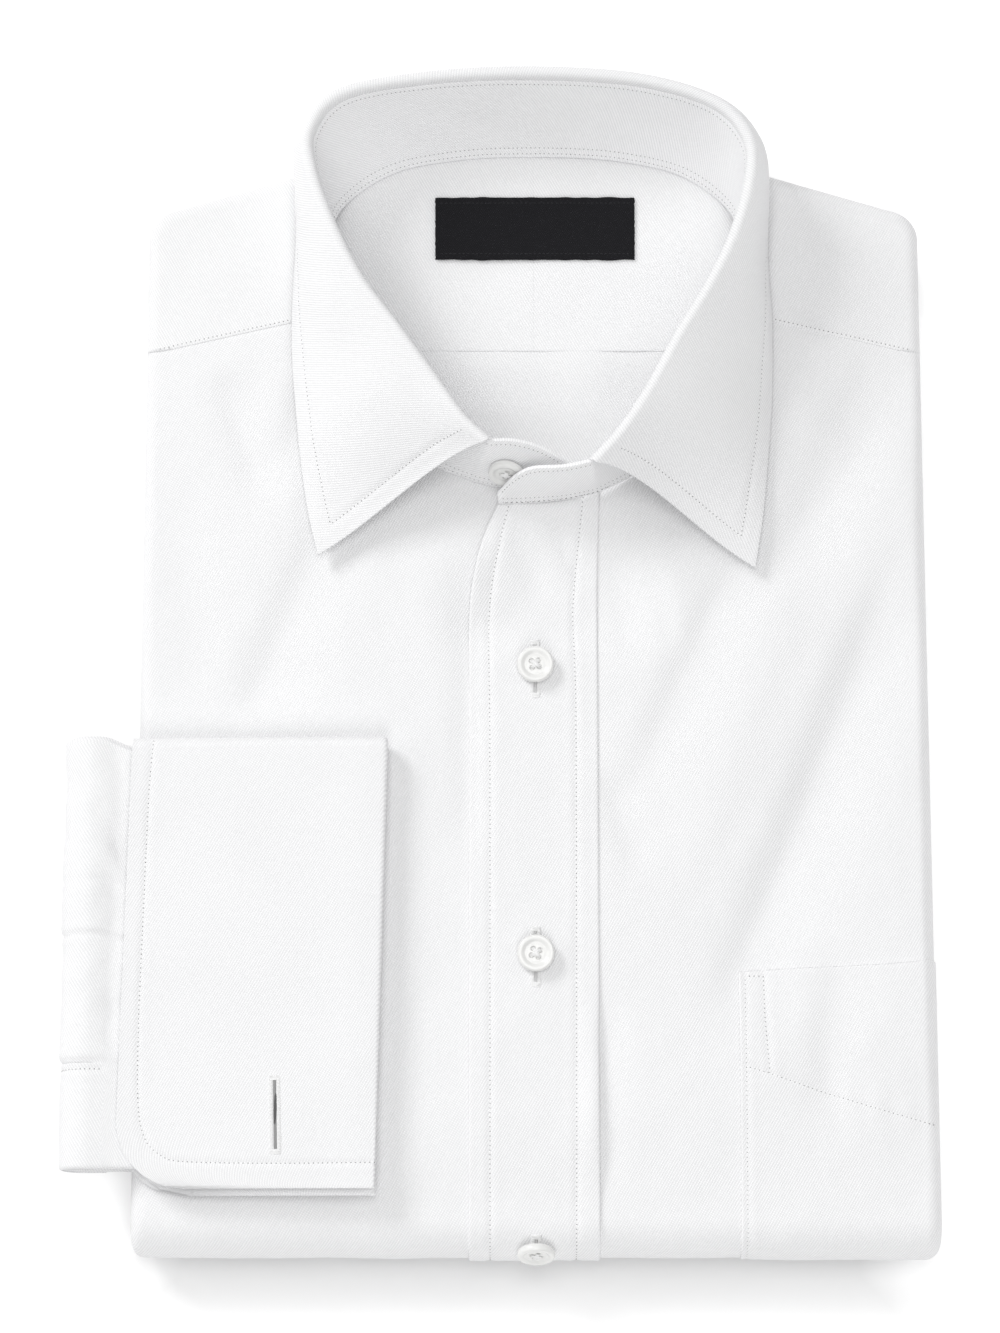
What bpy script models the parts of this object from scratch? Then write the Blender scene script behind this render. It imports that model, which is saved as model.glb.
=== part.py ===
"""A long sleeve dress shirt, folded for the shelf and lying on its back.

The shirt is a strip as wide as the folded body.  The strip lies in two arms, one on the other, joined
by a soft turn at the waist end.  The fronts are the outermost cloth: they lie on the upper arm, roll
round both long sides and go round the turn to the underside.  The collar stands at the other end,
and the right sleeve comes out from between the arms and lays its turned-back cuff on the front.

Sizes are in millimetres, and mesh_object turns them into metres.  +Y points to the collar, +Z up.
Left and right in names are the wearer's; the wearer's right is at -X.
"""

import math

import bpy
import numpy as np
from mathutils import Matrix, Vector

MM = 0.001
GAP = 0.3                      # clearance between pieces that touch
WALL = 1.0                     # cloth wall of the panels
PATCH_WALL = 1.2               # placket and pocket
STAND_WALL = 1.6               # collar stand, two plies and a stiffener
LEAF_WALL = 1.4                # collar leaf
CUFF_WALL = 1.6                # one ply of the cuff

# Folded body
MIDDLE_X = 10.7                # the button line
HALF_WIDTH = 122.2             # from the button line to a long side
STACK_HEIGHT = 22.0            # height at the long sides
HALF_ARM = 4.3                 # half the thickness of one arm at its edge
TURN_Y = -172.0                # where the flat arms end and the turn begins
TURN_RADIUS = STACK_HEIGHT / 2
TURN_MID_RADIUS = TURN_RADIUS - HALF_ARM
TURN_CENTRE_Z = STACK_HEIGHT / 2
LIP = 11.5                     # cloth turned in under a rolled side
YOKE_LIP = 7.0                 # the same under a yoke's rolled edge
CROWN = 3.0                    # how much fuller the middle is than the sides
HEM_Y = 128.0                  # end of the tail on the underside
HEM_RISE = 10.0                # the hem is shorter by this at the sides
PATH_START_Y = 120.0           # where distances along the strip are counted from

# Front yoke seam and shoulder line, as a height at one distance from the middle and a slope
SEAM_AT, SEAM_Y, SEAM_SLOPE = 76.0, 108.4, -0.218
SHOULDER_AT, SHOULDER_Y, SHOULDER_SLOPE = 75.0, 158.6, -0.295
SHOULDER_CORNER = 10.0
SHOULDER_INSET = 4.7           # of the hidden layers from the shoulder line
NECK_JOIN = 64.5               # distance from the middle where seam and neckline meet

# Neckline of the fronts: distance from the middle, y on the right front, y on the left front
NECKLINE = (
    (0.0, 54.6, 54.4),
    (10.0, 55.2, 54.4),
    (18.7, 57.8, 54.8),
    (30.0, 62.4, 59.4),
    (43.0, 73.5, 70.4),
    (55.0, 88.5, 86.2),
    (62.0, 103.0, 101.4),
    (NECK_JOIN, 111.0, 110.9),
)

# Side of the neck, where a yoke ends beside the collar: distance from the middle, y
NECK_SIDE = (
    (NECK_JOIN + 1.6, 111.2),
    (66.6, 124.0),
    (66.6, 136.0),
    (65.2, 146.0),
    (62.5, 153.0),
    (61.0, 163.0),
)

# Front placket: y, left edge, right edge as x
PLACKET = (
    (50.4, 0.4, 30.4),
    (38.0, -4.6, 30.0),
    (26.0, -7.4, 29.7),
    (13.0, -8.8, 29.6),
    (-20.0, -8.9, 29.6),
)
PATCH_LIFT = GAP + PATCH_WALL + 0.1      # outer face of a patch above the panel it lies on
FURROW_HALF_WIDTH = 23.0       # groove in the underside that takes the placket there
FURROW_EDGE = 2.4

# Main folds of the fronts: start x y, end x y, half width, depth (a ridge is positive)
FRONT_FOLDS = (
    (118.0, 22.0, 76.0, -86.0, 11.0, -2.0),
    (96.0, 20.0, 62.0, -70.0, 11.0, 1.1),
    (74.0, 18.0, 46.0, -32.0, 8.0, -1.2),
    (112.0, 96.0, 90.0, 46.0, 9.0, -1.4),
    (-62.0, 28.0, -86.0, -12.0, 10.0, -1.5),
    (-88.0, 88.0, -72.0, 62.0, 8.0, -1.2),
)

# Neck opening: levels of what lies inside it
BACK_PANEL_Z = 20.1
INNER_YOKE_Z = 21.4
BACK_YOKE_SEAM_Y = 100.0
BACK_PANEL_END_Y = 38.0
CORE_PAN_Z = 19.3
PAN_HALF_WIDTH = 76.0
PAN_EDGE = 9.0
PAN_Y = 34.0
FOLD_ROOM = 2.4                # kept free under the fronts for their folds
TURN_NARROWER = 8.0            # the hidden layers are narrower by this at the turn
SLAB_COLUMNS = (0.0, 0.22, 0.44, 0.56, 0.65, 0.74, 0.87, 1.0)   # shares of a slab's half width
SLAB_RIM = 3.0                 # how far the sides of the upper layer round off
THIN_RIM = 2.1                 # the same of the others
MIDDLE_HALF_WIDTH = 106.0      # of the middle layer
MIDDLE_LOW_Z = 9.3
MIDDLE_END_Y = 135.0
HEART_HALF_WIDTH = 102.0       # of the layer that ties the three together
HEART_END_Y = 116.0
LOWER_END_Y = 117.0
LOWER_LOW_Z = 3.0

# Back neck seam: distance from the middle, y
BACK_NECK = (
    (0.0, 165.0),
    (20.0, 164.6),
    (38.0, 162.4),
    (50.0, 157.0),
    (60.0, 147.0),
    (68.0, 134.0),
)

# Collar, from the right front end round the back of the neck to the left front end.
# foot = seam to the body, roll = crest of the fold, edge = outer edge of the leaf
COLLAR = (
    # foot x y z          roll x y z            edge x y z
    (-7.7, 56.7, 25.4, -3.5, 63.6, 51.0, -56.5, 32.2, 27.6),
    (-21.0, 62.2, 25.4, -11.0, 71.0, 51.5, -59.5, 46.0, 27.0),
    (-32.0, 72.4, 25.6, -20.5, 84.6, 52.0, -62.0, 64.0, 26.4),
    (-44.0, 87.6, 25.7, -31.5, 100.0, 52.5, -64.2, 86.0, 26.2),
    (-51.6, 105.0, 25.7, -43.0, 115.6, 52.5, -65.4, 107.0, 26.2),
    (-54.6, 124.0, 25.6, -52.2, 133.4, 52.5, -64.4, 128.0, 25.8),
    (-53.4, 140.0, 25.2, -58.6, 150.6, 52.5, -62.9, 149.0, 25.4),
    (-46.2, 151.0, 22.4, -59.6, 163.4, 52.5, -61.6, 164.5, 22.5),
    (-32.0, 159.4, 22.4, -49.6, 175.2, 52.2, -53.0, 179.2, 12.0),
    (-11.0, 163.4, 22.4, -21.0, 180.8, 52.0, -23.0, 184.6, 8.6),
    (11.0, 164.2, 22.4, 11.0, 182.2, 52.0, 11.0, 185.6, 8.0),
    (33.0, 163.4, 22.4, 43.0, 180.0, 52.0, 45.0, 184.4, 8.6),
    (54.0, 159.4, 22.4, 66.2, 173.0, 52.2, 71.0, 178.6, 12.0),
    (68.2, 151.0, 22.4, 76.4, 162.8, 52.5, 81.6, 164.5, 22.5),
    (75.4, 140.0, 25.2, 78.0, 150.6, 52.5, 83.4, 149.0, 25.4),
    (76.6, 124.0, 25.6, 72.8, 131.4, 52.5, 84.4, 128.0, 25.8),
    (73.6, 105.0, 25.7, 64.2, 113.6, 52.5, 85.2, 107.0, 26.2),
    (66.0, 86.6, 25.7, 54.6, 97.6, 52.5, 85.0, 85.0, 26.2),
    (54.0, 70.6, 25.6, 45.0, 79.4, 52.0, 83.3, 62.0, 26.4),
    (42.6, 59.4, 25.6, 36.6, 66.6, 51.5, 81.4, 43.0, 27.0),
    (29.5, 52.8, 26.6, 28.4, 56.8, 51.0, 79.2, 28.2, 27.6),
)
COLLAR_STATIONS = 41
ROLL_RADIUS = 2.2              # of the leaf over the stand
ROLL_RISE = 0.6                # straight stretch of leaf above the stand before it rolls
LEAF_BULGE = 2.6               # how far the leaf bows outwards between crest and edge
FRONT_BOWS = (3.4, 4.6)        # how far the right and left front edges of the leaf bow to the neck
FRONT_BOW_REACH = 0.12         # share of the collar over which that bow fades

# Ends of the stand past the leaf, each from the leaf outwards: foot x y z, top x y z
RIGHT_TAB = (
    (1.0, 54.6, 25.6, 4.5, 63.6, 47.6),
    (10.0, 53.6, 25.8, 12.6, 62.0, 45.6),
    (18.0, 53.4, 26.6, 19.6, 59.0, 41.6),
    (22.6, 53.6, 29.0, 23.4, 56.4, 35.6),
)
LEFT_TAB = (
    (20.0, 50.6, 27.0, 19.6, 55.0, 47.0),
    (10.0, 49.5, 27.0, 9.6, 53.6, 43.6),
    (3.6, 49.2, 27.2, 3.6, 51.6, 38.6),
    (-0.6, 49.0, 28.0, -0.5, 49.8, 31.6),
)

# Chest pocket on the left front
POCKET_X = 73.4
POCKET_TOP_SIDES = (POCKET_X - MIDDLE_X, 107.0, HALF_WIDTH)    # distances from the middle
POCKET_TOP_YS = (-97.6, -95.6, -94.2)
POCKET_TURN_END = math.radians(148.0)
POCKET_SIDE_END = math.radians(120.0)

# Right sleeve and its cuff
SLEEVE_TOP_Y, SLEEVE_BOTTOM_Y = -25.0, -157.0
SLEEVE_HALF_THICK = 1.9
SLEEVE_OUT_X = -132.2
SLEEVE_IN_X = -101.5
SLEEVE_END_X = -105.5
SLEEVE_PLACKET_Y = -126.0
SLEEVE_PLACKET_SINK = 1.2      # how much flatter the tube is under its placket
SLEEVE_TAPER = 3.2             # how much narrower the sleeve is where it enters the cuff
CUFF_TOP_Y, CUFF_BOTTOM_Y = -26.2, -163.4
CUFF_UNDER_Y = -165.3
CUFF_EDGE_X, CUFF_TURN_X = -112.6, -33.8
CUFF_LEAN = 0.024              # the cuff lies this much askew
CUFF_SEAM_X = -104.8
CUFF_CORNER = 21.0
CUFF_INNER, CUFF_OUTER = 1.3, 3.3        # distance of the plies from the middle of the cuff
CUFF_LIFT = 4.6                          # middle of the cuff above the front under it

# Buttons: radius, thickness, rim
BUTTON_RADIUS = 5.7
BUTTON_THICK = 2.4
BUTTON_RIM = 1.1
BUTTON_DISH = 0.7
BUTTON_HOLE_RADIUS = 0.8
BUTTON_HOLE_PLACE = 1.35
BUTTON_YS = (-2.5, -92.2)
BUTTON_ASIDE = 0.2             # from the middle of the body
TURN_BUTTON_ANGLE = math.radians(46.0)
COLLAR_BUTTON_SHARE = 0.44     # of the height of the stand's right end
SHANK = 1.0                    # thread between the stand and its button

LABEL_SIZE = (62.5, 20.6, 0.7)
LABEL_CENTRE = (11.1, 140.0)

CLOTH = (0.86, 0.87, 0.89, 1.0)
SHELL = (0.80, 0.80, 0.79, 1.0)
BLACK = (0.02, 0.02, 0.022, 1.0)


# ---------------------------------------------------------------- small helpers

def ease(value):
    """A step from 0 to 1 with soft ends."""
    value = np.clip(value, 0.0, 1.0)
    return value * value * (3.0 - 2.0 * value)


def smooth_rows(rows, count):
    """A smooth curve through the rows of a table, read at evenly spaced places."""
    rows = np.asarray(rows, dtype=float)
    padded = np.vstack((2 * rows[0] - rows[1], rows, 2 * rows[-1] - rows[-2]))
    place = np.linspace(0.0, len(rows) - 1.0, count)
    first = np.minimum(place.astype(int), len(rows) - 2)
    t = (place - first)[:, None]
    a, b, c, d = (padded[first + step] for step in range(4))
    square = (2 * a - 5 * b + 4 * c - d) * t ** 2
    cube = (3 * b - a - 3 * c + d) * t ** 3
    return 0.5 * (2 * b + (c - a) * t + square + cube)


def collection(name):
    """A collection of this name in the scene."""
    made = bpy.data.collections.new(name)
    bpy.context.scene.collection.children.link(made)
    return made


def material(name, colour, roughness):
    """A Principled material for one part."""
    made = bpy.data.materials.new(name)
    made.use_nodes = True
    shader = made.node_tree.nodes["Principled BSDF"]
    shader.inputs["Base Color"].default_value = colour
    shader.inputs["Roughness"].default_value = roughness
    shader.inputs["Metallic"].default_value = 0.0
    return made


def mesh_object(name, points, faces, place, colour=CLOTH, roughness=0.9):
    """An object from points in millimetres and faces."""
    mesh = bpy.data.meshes.new(name)
    mesh.from_pydata((np.asarray(points, dtype=float) * MM).tolist(), [], faces)
    mesh.validate()
    mesh.shade_smooth()
    made = bpy.data.objects.new(name, mesh)
    mesh.materials.append(material(name, colour, roughness))
    place.objects.link(made)
    return made


def grid_faces(rows, columns):
    """Four-sided faces of a grid whose points are stored row by row."""
    return [
        (row * columns + column, row * columns + column + 1,
         (row + 1) * columns + column + 1, (row + 1) * columns + column)
        for row in range(rows - 1)
        for column in range(columns - 1)
    ]


def cloth_object(name, grid, wall, place, side=-1.0):
    """A sheet of cloth: a grid of points with a wall on one side of it, or about it where side is 0."""
    rows, columns = grid.shape[:2]
    made = mesh_object(name, grid.reshape(-1, 3), grid_faces(rows, columns), place)
    shell = made.modifiers.new("wall", "SOLIDIFY")
    shell.thickness = wall * MM
    shell.offset = side
    shell.use_even_offset = True
    return made


def join_solids(target, others):
    """Boolean union of solids that overlap into one."""
    for other in others:
        other.hide_render = True
        other.display_type = "WIRE"
        joint = target.modifiers.new("join", "BOOLEAN")
        joint.operation = "UNION"
        joint.solver = "EXACT"
        joint.object = other


# ---------------------------------------------------------------- the folded strip

def seam_y(side):
    """Front yoke seam at a distance from the middle."""
    return SEAM_Y + SEAM_SLOPE * (np.abs(side) - SEAM_AT)


def shoulder_y(side):
    """Shoulder line at a distance from the middle."""
    return SHOULDER_Y + SHOULDER_SLOPE * (np.abs(side) - SHOULDER_AT)


def crown(side, y):
    """Extra fullness of the upper arm: none at the sides and the turn, less at the shoulders."""
    across = 1.0 - np.clip(np.abs(side) / (HALF_WIDTH - HALF_ARM), 0.0, 1.0) ** 3
    along = ease((y - TURN_Y) / 34.0) * (1.0 - 0.45 * ease((y - 116.0) / 46.0))
    return CROWN * across * along


def fold_relief(side, y):
    """Height of the main folds: a bell across each line that fades out at its ends."""
    x = MIDDLE_X + side
    height = np.zeros(np.broadcast(side, y).shape)
    for x0, y0, x1, y1, half_width, depth in FRONT_FOLDS:
        length = math.hypot(x1 - x0, y1 - y0)
        along = ((x - x0) * (x1 - x0) + (y - y0) * (y1 - y0)) / length
        across = ((x - x0) * (y1 - y0) - (y - y0) * (x1 - x0)) / length
        ends = ease(along / (0.35 * length)) * ease((length - along) / (0.35 * length))
        height = height + depth * ends * np.exp(-(across / half_width) ** 2)
    edge = ease((HALF_WIDTH - HALF_ARM - 3.0 - np.abs(side)) / 12.0)
    under_cuff = ease((-27.0 - x) / 8.0) * ease((CUFF_TOP_Y + 14.0 - y) / 10.0)
    return height * edge * (1.0 - under_cuff)


def path_distance(y):
    """Distance along the strip of a place on the upper arm."""
    return PATH_START_Y - y


def turn_progress(along):
    """Angle gone round the turn, from 0 on the upper arm to pi on the lower arm."""
    return np.clip((along - path_distance(TURN_Y)) / TURN_RADIUS, 0.0, math.pi)


def under_distance(y):
    """Distance along the strip of a place on the lower arm."""
    return path_distance(TURN_Y) + math.pi * TURN_RADIUS + (y - TURN_Y)


def strip_points(side, height, along):
    """Points of the strip: side = from the middle, height = out from its mid-line, along = its length."""
    side, height, along = np.broadcast_arrays(side, height, along)
    angle = turn_progress(along)
    before = np.minimum(along - path_distance(TURN_Y), 0.0)
    after = np.maximum(along - path_distance(TURN_Y) - math.pi * TURN_RADIUS, 0.0)
    radius = TURN_MID_RADIUS + height
    y = TURN_Y - before + after - radius * np.sin(angle)
    z = TURN_CENTRE_Z + radius * np.cos(angle)
    return np.stack((MIDDLE_X + side, y, z), axis=-1)


def surface_height(side, along):
    """Outer face of the fronts above the strip's mid-line."""
    upper = 1.0 - ease((along - path_distance(TURN_Y)) / 12.0)
    y = PATH_START_Y - along
    furrow = ease((turn_progress(along) - 1.5) / 1.3)
    furrow = furrow * ease((FURROW_HALF_WIDTH - np.abs(side)) / FURROW_EDGE)
    full = (crown(side, y) + fold_relief(side, y)) * upper
    return HALF_ARM + full - PATCH_LIFT * furrow


def top_z(x, y):
    """Height of the fronts' and yokes' outer face at a place seen from above."""
    side = np.asarray(x, dtype=float) - MIDDLE_X
    return TURN_CENTRE_Z + TURN_MID_RADIUS + HALF_ARM + crown(side, y) + fold_relief(side, y)


def wrap_columns(flat_sides, steps=4, lip_steps=1):
    """Columns across a panel: its flat part, then the rolled side and the lip under it.

    Gives the distance from the middle, and the share of the half thickness that a column stands
    above the mid-line (1 on the face, -1 on the lip).
    """
    angles = np.linspace(0.0, math.pi, steps + 1)[1:]
    centre = HALF_WIDTH - HALF_ARM
    lip = centre - LIP * np.arange(1, lip_steps + 1) / lip_steps
    sides = np.concatenate((flat_sides, centre + HALF_ARM * np.sin(angles), lip))
    shares = np.concatenate((np.ones(len(flat_sides)), np.cos(angles), -np.ones(lip_steps)))
    return sides, shares


def along_rows(start, end, turn_steps=6, upper_step=14.0, lower_steps=5):
    """Distances along the strip, row by row: the upper arm, the turn, the lower arm."""
    turn_start = path_distance(TURN_Y)
    turn_end = turn_start + math.pi * TURN_RADIUS
    upper_steps = int(round((turn_start - np.min(start)) / upper_step))
    upper = np.linspace(start, np.full_like(start, turn_start), upper_steps + 1)[:-1]
    turn = np.linspace(np.full_like(start, turn_start), np.full_like(start, turn_end), turn_steps + 1)[:-1]
    lower = np.linspace(np.full_like(start, turn_end), end, lower_steps + 1)
    return np.vstack((upper, turn, lower))


# ---------------------------------------------------------------- panels

def front_panel(name, sign, place):
    """One front: from the neckline and yoke seam, round the side and the turn, to the hem."""
    rolled_from = HALF_WIDTH - HALF_ARM
    flat = np.array((1.0, 11.0, 20.6, 23.4, 34.0, 45.0, 55.0, 62.0, 70.0, 81.0, 93.0, 106.0, rolled_from))
    sides, shares = wrap_columns(flat)
    neck_column = 1 if sign < 0 else 2
    neck = np.array(NECKLINE)
    top = np.interp(sides, neck[:, 0], neck[:, neck_column])
    top = np.where(sides > NECK_JOIN, seam_y(sides), top)
    top = np.where(shares < 0.999, seam_y(rolled_from), top)
    hem = HEM_Y - HEM_RISE * (np.minimum(sides, HALF_WIDTH) / HALF_WIDTH) ** 2
    along = along_rows(path_distance(top), under_distance(hem))
    face = surface_height(sides * sign, along)
    height = np.where(shares > 0.999, face, HALF_ARM * shares)
    grid = strip_points(sides * sign, height, along)
    return cloth_object(name, grid, WALL, place, side=sign)


def front_placket(place):
    """The band down the front, laid on the fronts, round the turn and along the underside."""
    table = np.array(PLACKET)[::-1]
    start = np.full(5, path_distance(PLACKET[0][0]))
    end = np.full(5, under_distance(HEM_Y - 0.6))
    along = along_rows(start, end, upper_step=11.0)
    y = PATH_START_Y - along[:, :1]
    left = np.interp(y, table[:, 0], table[:, 1])
    right = np.interp(y, table[:, 0], table[:, 2])
    side = left + (right - left) * np.linspace(0.0, 1.0, 5) - MIDDLE_X
    height = surface_height(side, along) + PATCH_LIFT
    return cloth_object("front_placket", strip_points(side, height, along), PATCH_WALL, place, side=1.0)


def chest_pocket(place):
    """The pocket on the left front, rolled round the side and the turn with it."""
    centre = HALF_WIDTH - HALF_ARM
    angles = np.linspace(0.0, POCKET_SIDE_END, 5)[1:]
    flat = np.linspace(POCKET_X - MIDDLE_X, centre, 6)
    sides = np.concatenate((flat, centre + (HALF_ARM + PATCH_LIFT) * np.sin(angles)))
    shares = np.concatenate((np.ones(len(flat)), np.cos(angles)))
    top = np.interp(sides, POCKET_TOP_SIDES, POCKET_TOP_YS)
    end = path_distance(TURN_Y) + POCKET_TURN_END * TURN_RADIUS
    upper = np.linspace(path_distance(top), np.full_like(top, path_distance(TURN_Y)), 8)[:-1]
    turn = np.linspace(np.full_like(top, path_distance(TURN_Y)), np.full_like(top, end), 7)
    along = np.vstack((upper, turn))
    face = surface_height(sides, along) + PATCH_LIFT
    height = np.where(shares > 0.999, face, (HALF_ARM + PATCH_LIFT) * shares)
    return cloth_object("chest_pocket", strip_points(sides, height, along), PATCH_WALL, place, side=1.0)


def shoulder_corner():
    """Centre of the shoulder's rounded corner, as distance from the middle and y, and the line's slope."""
    slope = math.atan(-SHOULDER_SLOPE)
    centre_side = HALF_WIDTH - SHOULDER_CORNER
    tangent_side = centre_side + SHOULDER_CORNER * math.sin(slope)
    return centre_side, float(shoulder_y(tangent_side)) - SHOULDER_CORNER * math.cos(slope), slope


def yoke_rim(sign):
    """Plan of a yoke's rolled edge: up the side, round the corner and along the shoulder line.

    Gives points and the outward direction at each, as distance from the middle and y.
    """
    centre_side, centre_y, slope = shoulder_corner()
    radius = SHOULDER_CORNER
    turn = np.linspace(0.0, math.pi / 2 - slope, 5)
    corner = np.stack((centre_side + radius * np.cos(turn), centre_y + radius * np.sin(turn)), axis=1)
    side_y = np.linspace(float(seam_y(HALF_WIDTH - HALF_ARM)) + GAP, centre_y, 4)[:-1]
    side = np.stack((np.full(3, HALF_WIDTH), side_y), axis=1)
    line_side = np.linspace(corner[-1, 0], NECK_SIDE[-1][0], 6)[1:]
    line = np.stack((line_side, shoulder_y(line_side)), axis=1)
    facing = np.concatenate((np.zeros(3), turn, np.full(5, math.pi / 2 - slope)))
    points = np.vstack((side, corner, line))
    outward = np.stack((np.cos(facing), np.sin(facing)), axis=1)
    points[:, 0] *= sign
    outward[:, 0] *= sign
    return points, outward


def yoke_panel(name, sign, place):
    """One half of the outer yoke: flat on the shoulder, rolled round the side and the shoulder line."""
    rim, outward = yoke_rim(sign)
    inner_rim = rim - outward * HALF_ARM
    start = np.array((sign * (NECK_JOIN + 1.6), float(seam_y(NECK_JOIN)) + GAP))
    neck = np.array([(sign * side, y) for side, y in NECK_SIDE])
    seam_side = sign * np.linspace(HALF_WIDTH - HALF_ARM - 2.5, NECK_JOIN + 1.6, 8)
    seam = np.stack((seam_side, seam_y(seam_side) + GAP), axis=1)
    across = len(seam)
    inner = np.vstack((seam, smooth_rows(neck, len(rim) - across + 1)[1:]))
    inner[across - 1] = start
    steps = np.linspace(0.0, 1.0, 6)[:, None, None]
    plan = inner + (inner_rim - inner) * steps
    x = MIDDLE_X + plan[..., 0]
    flat = np.stack((x, plan[..., 1], top_z(x, plan[..., 1])), axis=-1)
    roll = []
    mid_z = TURN_CENTRE_Z + TURN_MID_RADIUS
    fuller = flat[-1, :, 2] - mid_z - HALF_ARM
    for angle in np.linspace(0.0, math.pi, 6)[1:]:
        place_xy = inner_rim + outward * HALF_ARM * math.sin(angle)
        rise = HALF_ARM * math.cos(angle) + fuller * max(math.cos(angle), 0.0)
        roll.append(np.column_stack((MIDDLE_X + place_xy[:, 0], place_xy[:, 1], mid_z + rise)))
    lip = roll[-1].copy()
    lip[:, :2] -= outward * YOKE_LIP
    grid = np.concatenate((flat, np.array(roll), lip[None]))
    return cloth_object(name, grid, WALL, place, side=sign)


def flat_panel(name, sides, low_y, high_y, level, place):
    """A flat panel between two edges given as y at each distance from the middle."""
    steps = np.linspace(0.0, 1.0, 5)[:, None]
    y = low_y + (high_y - low_y) * steps
    side = np.broadcast_to(sides, y.shape)
    grid = np.stack((MIDDLE_X + side, y, np.full(y.shape, level)), axis=-1)
    return cloth_object(name, grid, WALL, place, side=0.0)


def inner_panels(place):
    """What shows inside the neck: the two halves of the inner yoke and the back panel below them."""
    neck = np.array(BACK_NECK)
    for name, sign in (("inner_yoke_right", -1.0), ("inner_yoke_left", 1.0)):
        sides = sign * np.linspace(GAP / 2, BACK_NECK[-1][0], 9)
        high = np.interp(np.abs(sides), neck[:, 0], neck[:, 1])
        flat_panel(name, sides, np.full(9, BACK_YOKE_SEAM_Y), high, INNER_YOKE_Z, place)
    sides = np.linspace(-PAN_HALF_WIDTH + 4.0, PAN_HALF_WIDTH - 4.0, 7)
    flat_panel("back_panel", sides, np.full(7, BACK_PANEL_END_Y), np.full(7, BACK_YOKE_SEAM_Y + 9.0),
               BACK_PANEL_Z, place)


# ---------------------------------------------------------------- hidden layers

def slab(name, stations, half_width, top, bottom, rim, place):
    """A slab with rounded sides, a section at each station.

    half_width(y), top(side, y) and bottom give its form, and rim how far its sides round off.
    """
    half = np.array(SLAB_COLUMNS)
    across = np.concatenate((-half[:0:-1], half))
    rows = []
    for y in stations:
        width = half_width(y)
        flat = across * (width - rim)
        high = top(flat, y)
        low = np.full_like(flat, bottom)
        middle = (high + low) / 2
        shoulder = width - rim * 0.3
        right_rim = [(shoulder, (high[-1] * 3 + low[-1]) / 4), (width, middle[-1]),
                     (shoulder, (high[-1] + low[-1] * 3) / 4)]
        left_rim = [(-shoulder, (high[0] + low[0] * 3) / 4), (-width, middle[0]),
                    (-shoulder, (high[0] * 3 + low[0]) / 4)]
        ring = list(zip(flat, high)) + right_rim + list(zip(flat[::-1], low)) + left_rim
        rows.append([(MIDDLE_X + side, y, z) for side, z in ring])
    count = len(rows[0])
    faces = [
        (row * count + i, row * count + (i + 1) % count,
         (row + 1) * count + (i + 1) % count, (row + 1) * count + i)
        for row in range(len(rows) - 1)
        for i in range(count)
    ]
    faces.append(tuple(range(count))[::-1])
    faces.append(tuple(range((len(rows) - 1) * count, len(rows) * count)))
    return mesh_object(name, [point for row in rows for point in row], faces, place)


def plain_slab(name, length, half_width, top, bottom, place):
    """A slab of one width and height: length gives its start, its end and the number of stations."""
    def width_at(y):
        return half_width

    def top_at(side, y):
        return np.full_like(side, top)

    return slab(name, np.linspace(*length), width_at, top_at, bottom, THIN_RIM, place)


def core_top(side, y):
    """Top of the hidden layers: just under the fronts, and lower in the neck opening."""
    inset = GAP + WALL + 0.2
    full = STACK_HEIGHT + crown(side, y) - inset - FOLD_ROOM * ease((y - TURN_Y) / 20.0)
    rounding = TURN_RADIUS - inset
    drop = rounding - math.sqrt(rounding ** 2 - min(y - TURN_Y, 0.0) ** 2)
    pan = ease((PAN_HALF_WIDTH - np.abs(side)) / PAN_EDGE + 1.0) * ease((y - PAN_Y) / PAN_EDGE + 1.0)
    return (full - drop) * (1.0 - pan) + CORE_PAN_Z * pan


def folded_layers(place, cutters):
    """The back, the sides and the left sleeve, folded away inside: three layers in one solid."""
    inset = GAP + WALL + 0.7
    end_y = float(shoulder_y(66.0)) - SHOULDER_INSET

    corner_side, corner_y, slope = shoulder_corner()
    radius = SHOULDER_CORNER - SHOULDER_INSET

    def upper_width(y):
        past = y - corner_y
        if y < TURN_Y:
            return HALF_WIDTH - TURN_NARROWER
        if past <= 0.0:
            return HALF_WIDTH - inset
        if past < radius * math.cos(slope):
            return corner_side + math.sqrt(radius ** 2 - past ** 2)
        line_from = corner_side + radius * math.sin(slope)
        return line_from + (radius * math.cos(slope) - past) / -SHOULDER_SLOPE

    upper_stations = [TURN_Y - 6.5, TURN_Y - 3.5, TURN_Y]
    upper_stations += list(np.linspace(TURN_Y + 14.0, 22.0, 11))
    upper_stations += [25.0, 29.5, 34.0, 60.0, 90.0, 118.0, 137.0, 139.0, 141.5, 148.0, end_y]
    upper_bottom = TURN_CENTRE_Z + TURN_MID_RADIUS - HALF_ARM + WALL + GAP
    lower_top = 2 * HALF_ARM - WALL - GAP
    lower_half_width = HALF_WIDTH - inset - 0.8
    upper = slab("folded_layers", upper_stations, upper_width, core_top, upper_bottom, SLAB_RIM, place)
    middle = plain_slab("middle_layer", (TURN_Y + 2.0, MIDDLE_END_Y, 4), MIDDLE_HALF_WIDTH,
                        upper_bottom + 1.5, MIDDLE_LOW_Z, cutters)
    heart = plain_slab("heart", (TURN_Y - 5.0, HEART_END_Y, 3), HEART_HALF_WIDTH,
                       upper_bottom + 1.0, MIDDLE_LOW_Z / 2, cutters)
    lower = plain_slab("lower_layer", (TURN_Y + 0.5, LOWER_END_Y, 6), lower_half_width,
                       lower_top, LOWER_LOW_Z, cutters)
    join_solids(upper, (heart, middle, lower))
    return upper


# ---------------------------------------------------------------- collar

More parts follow.
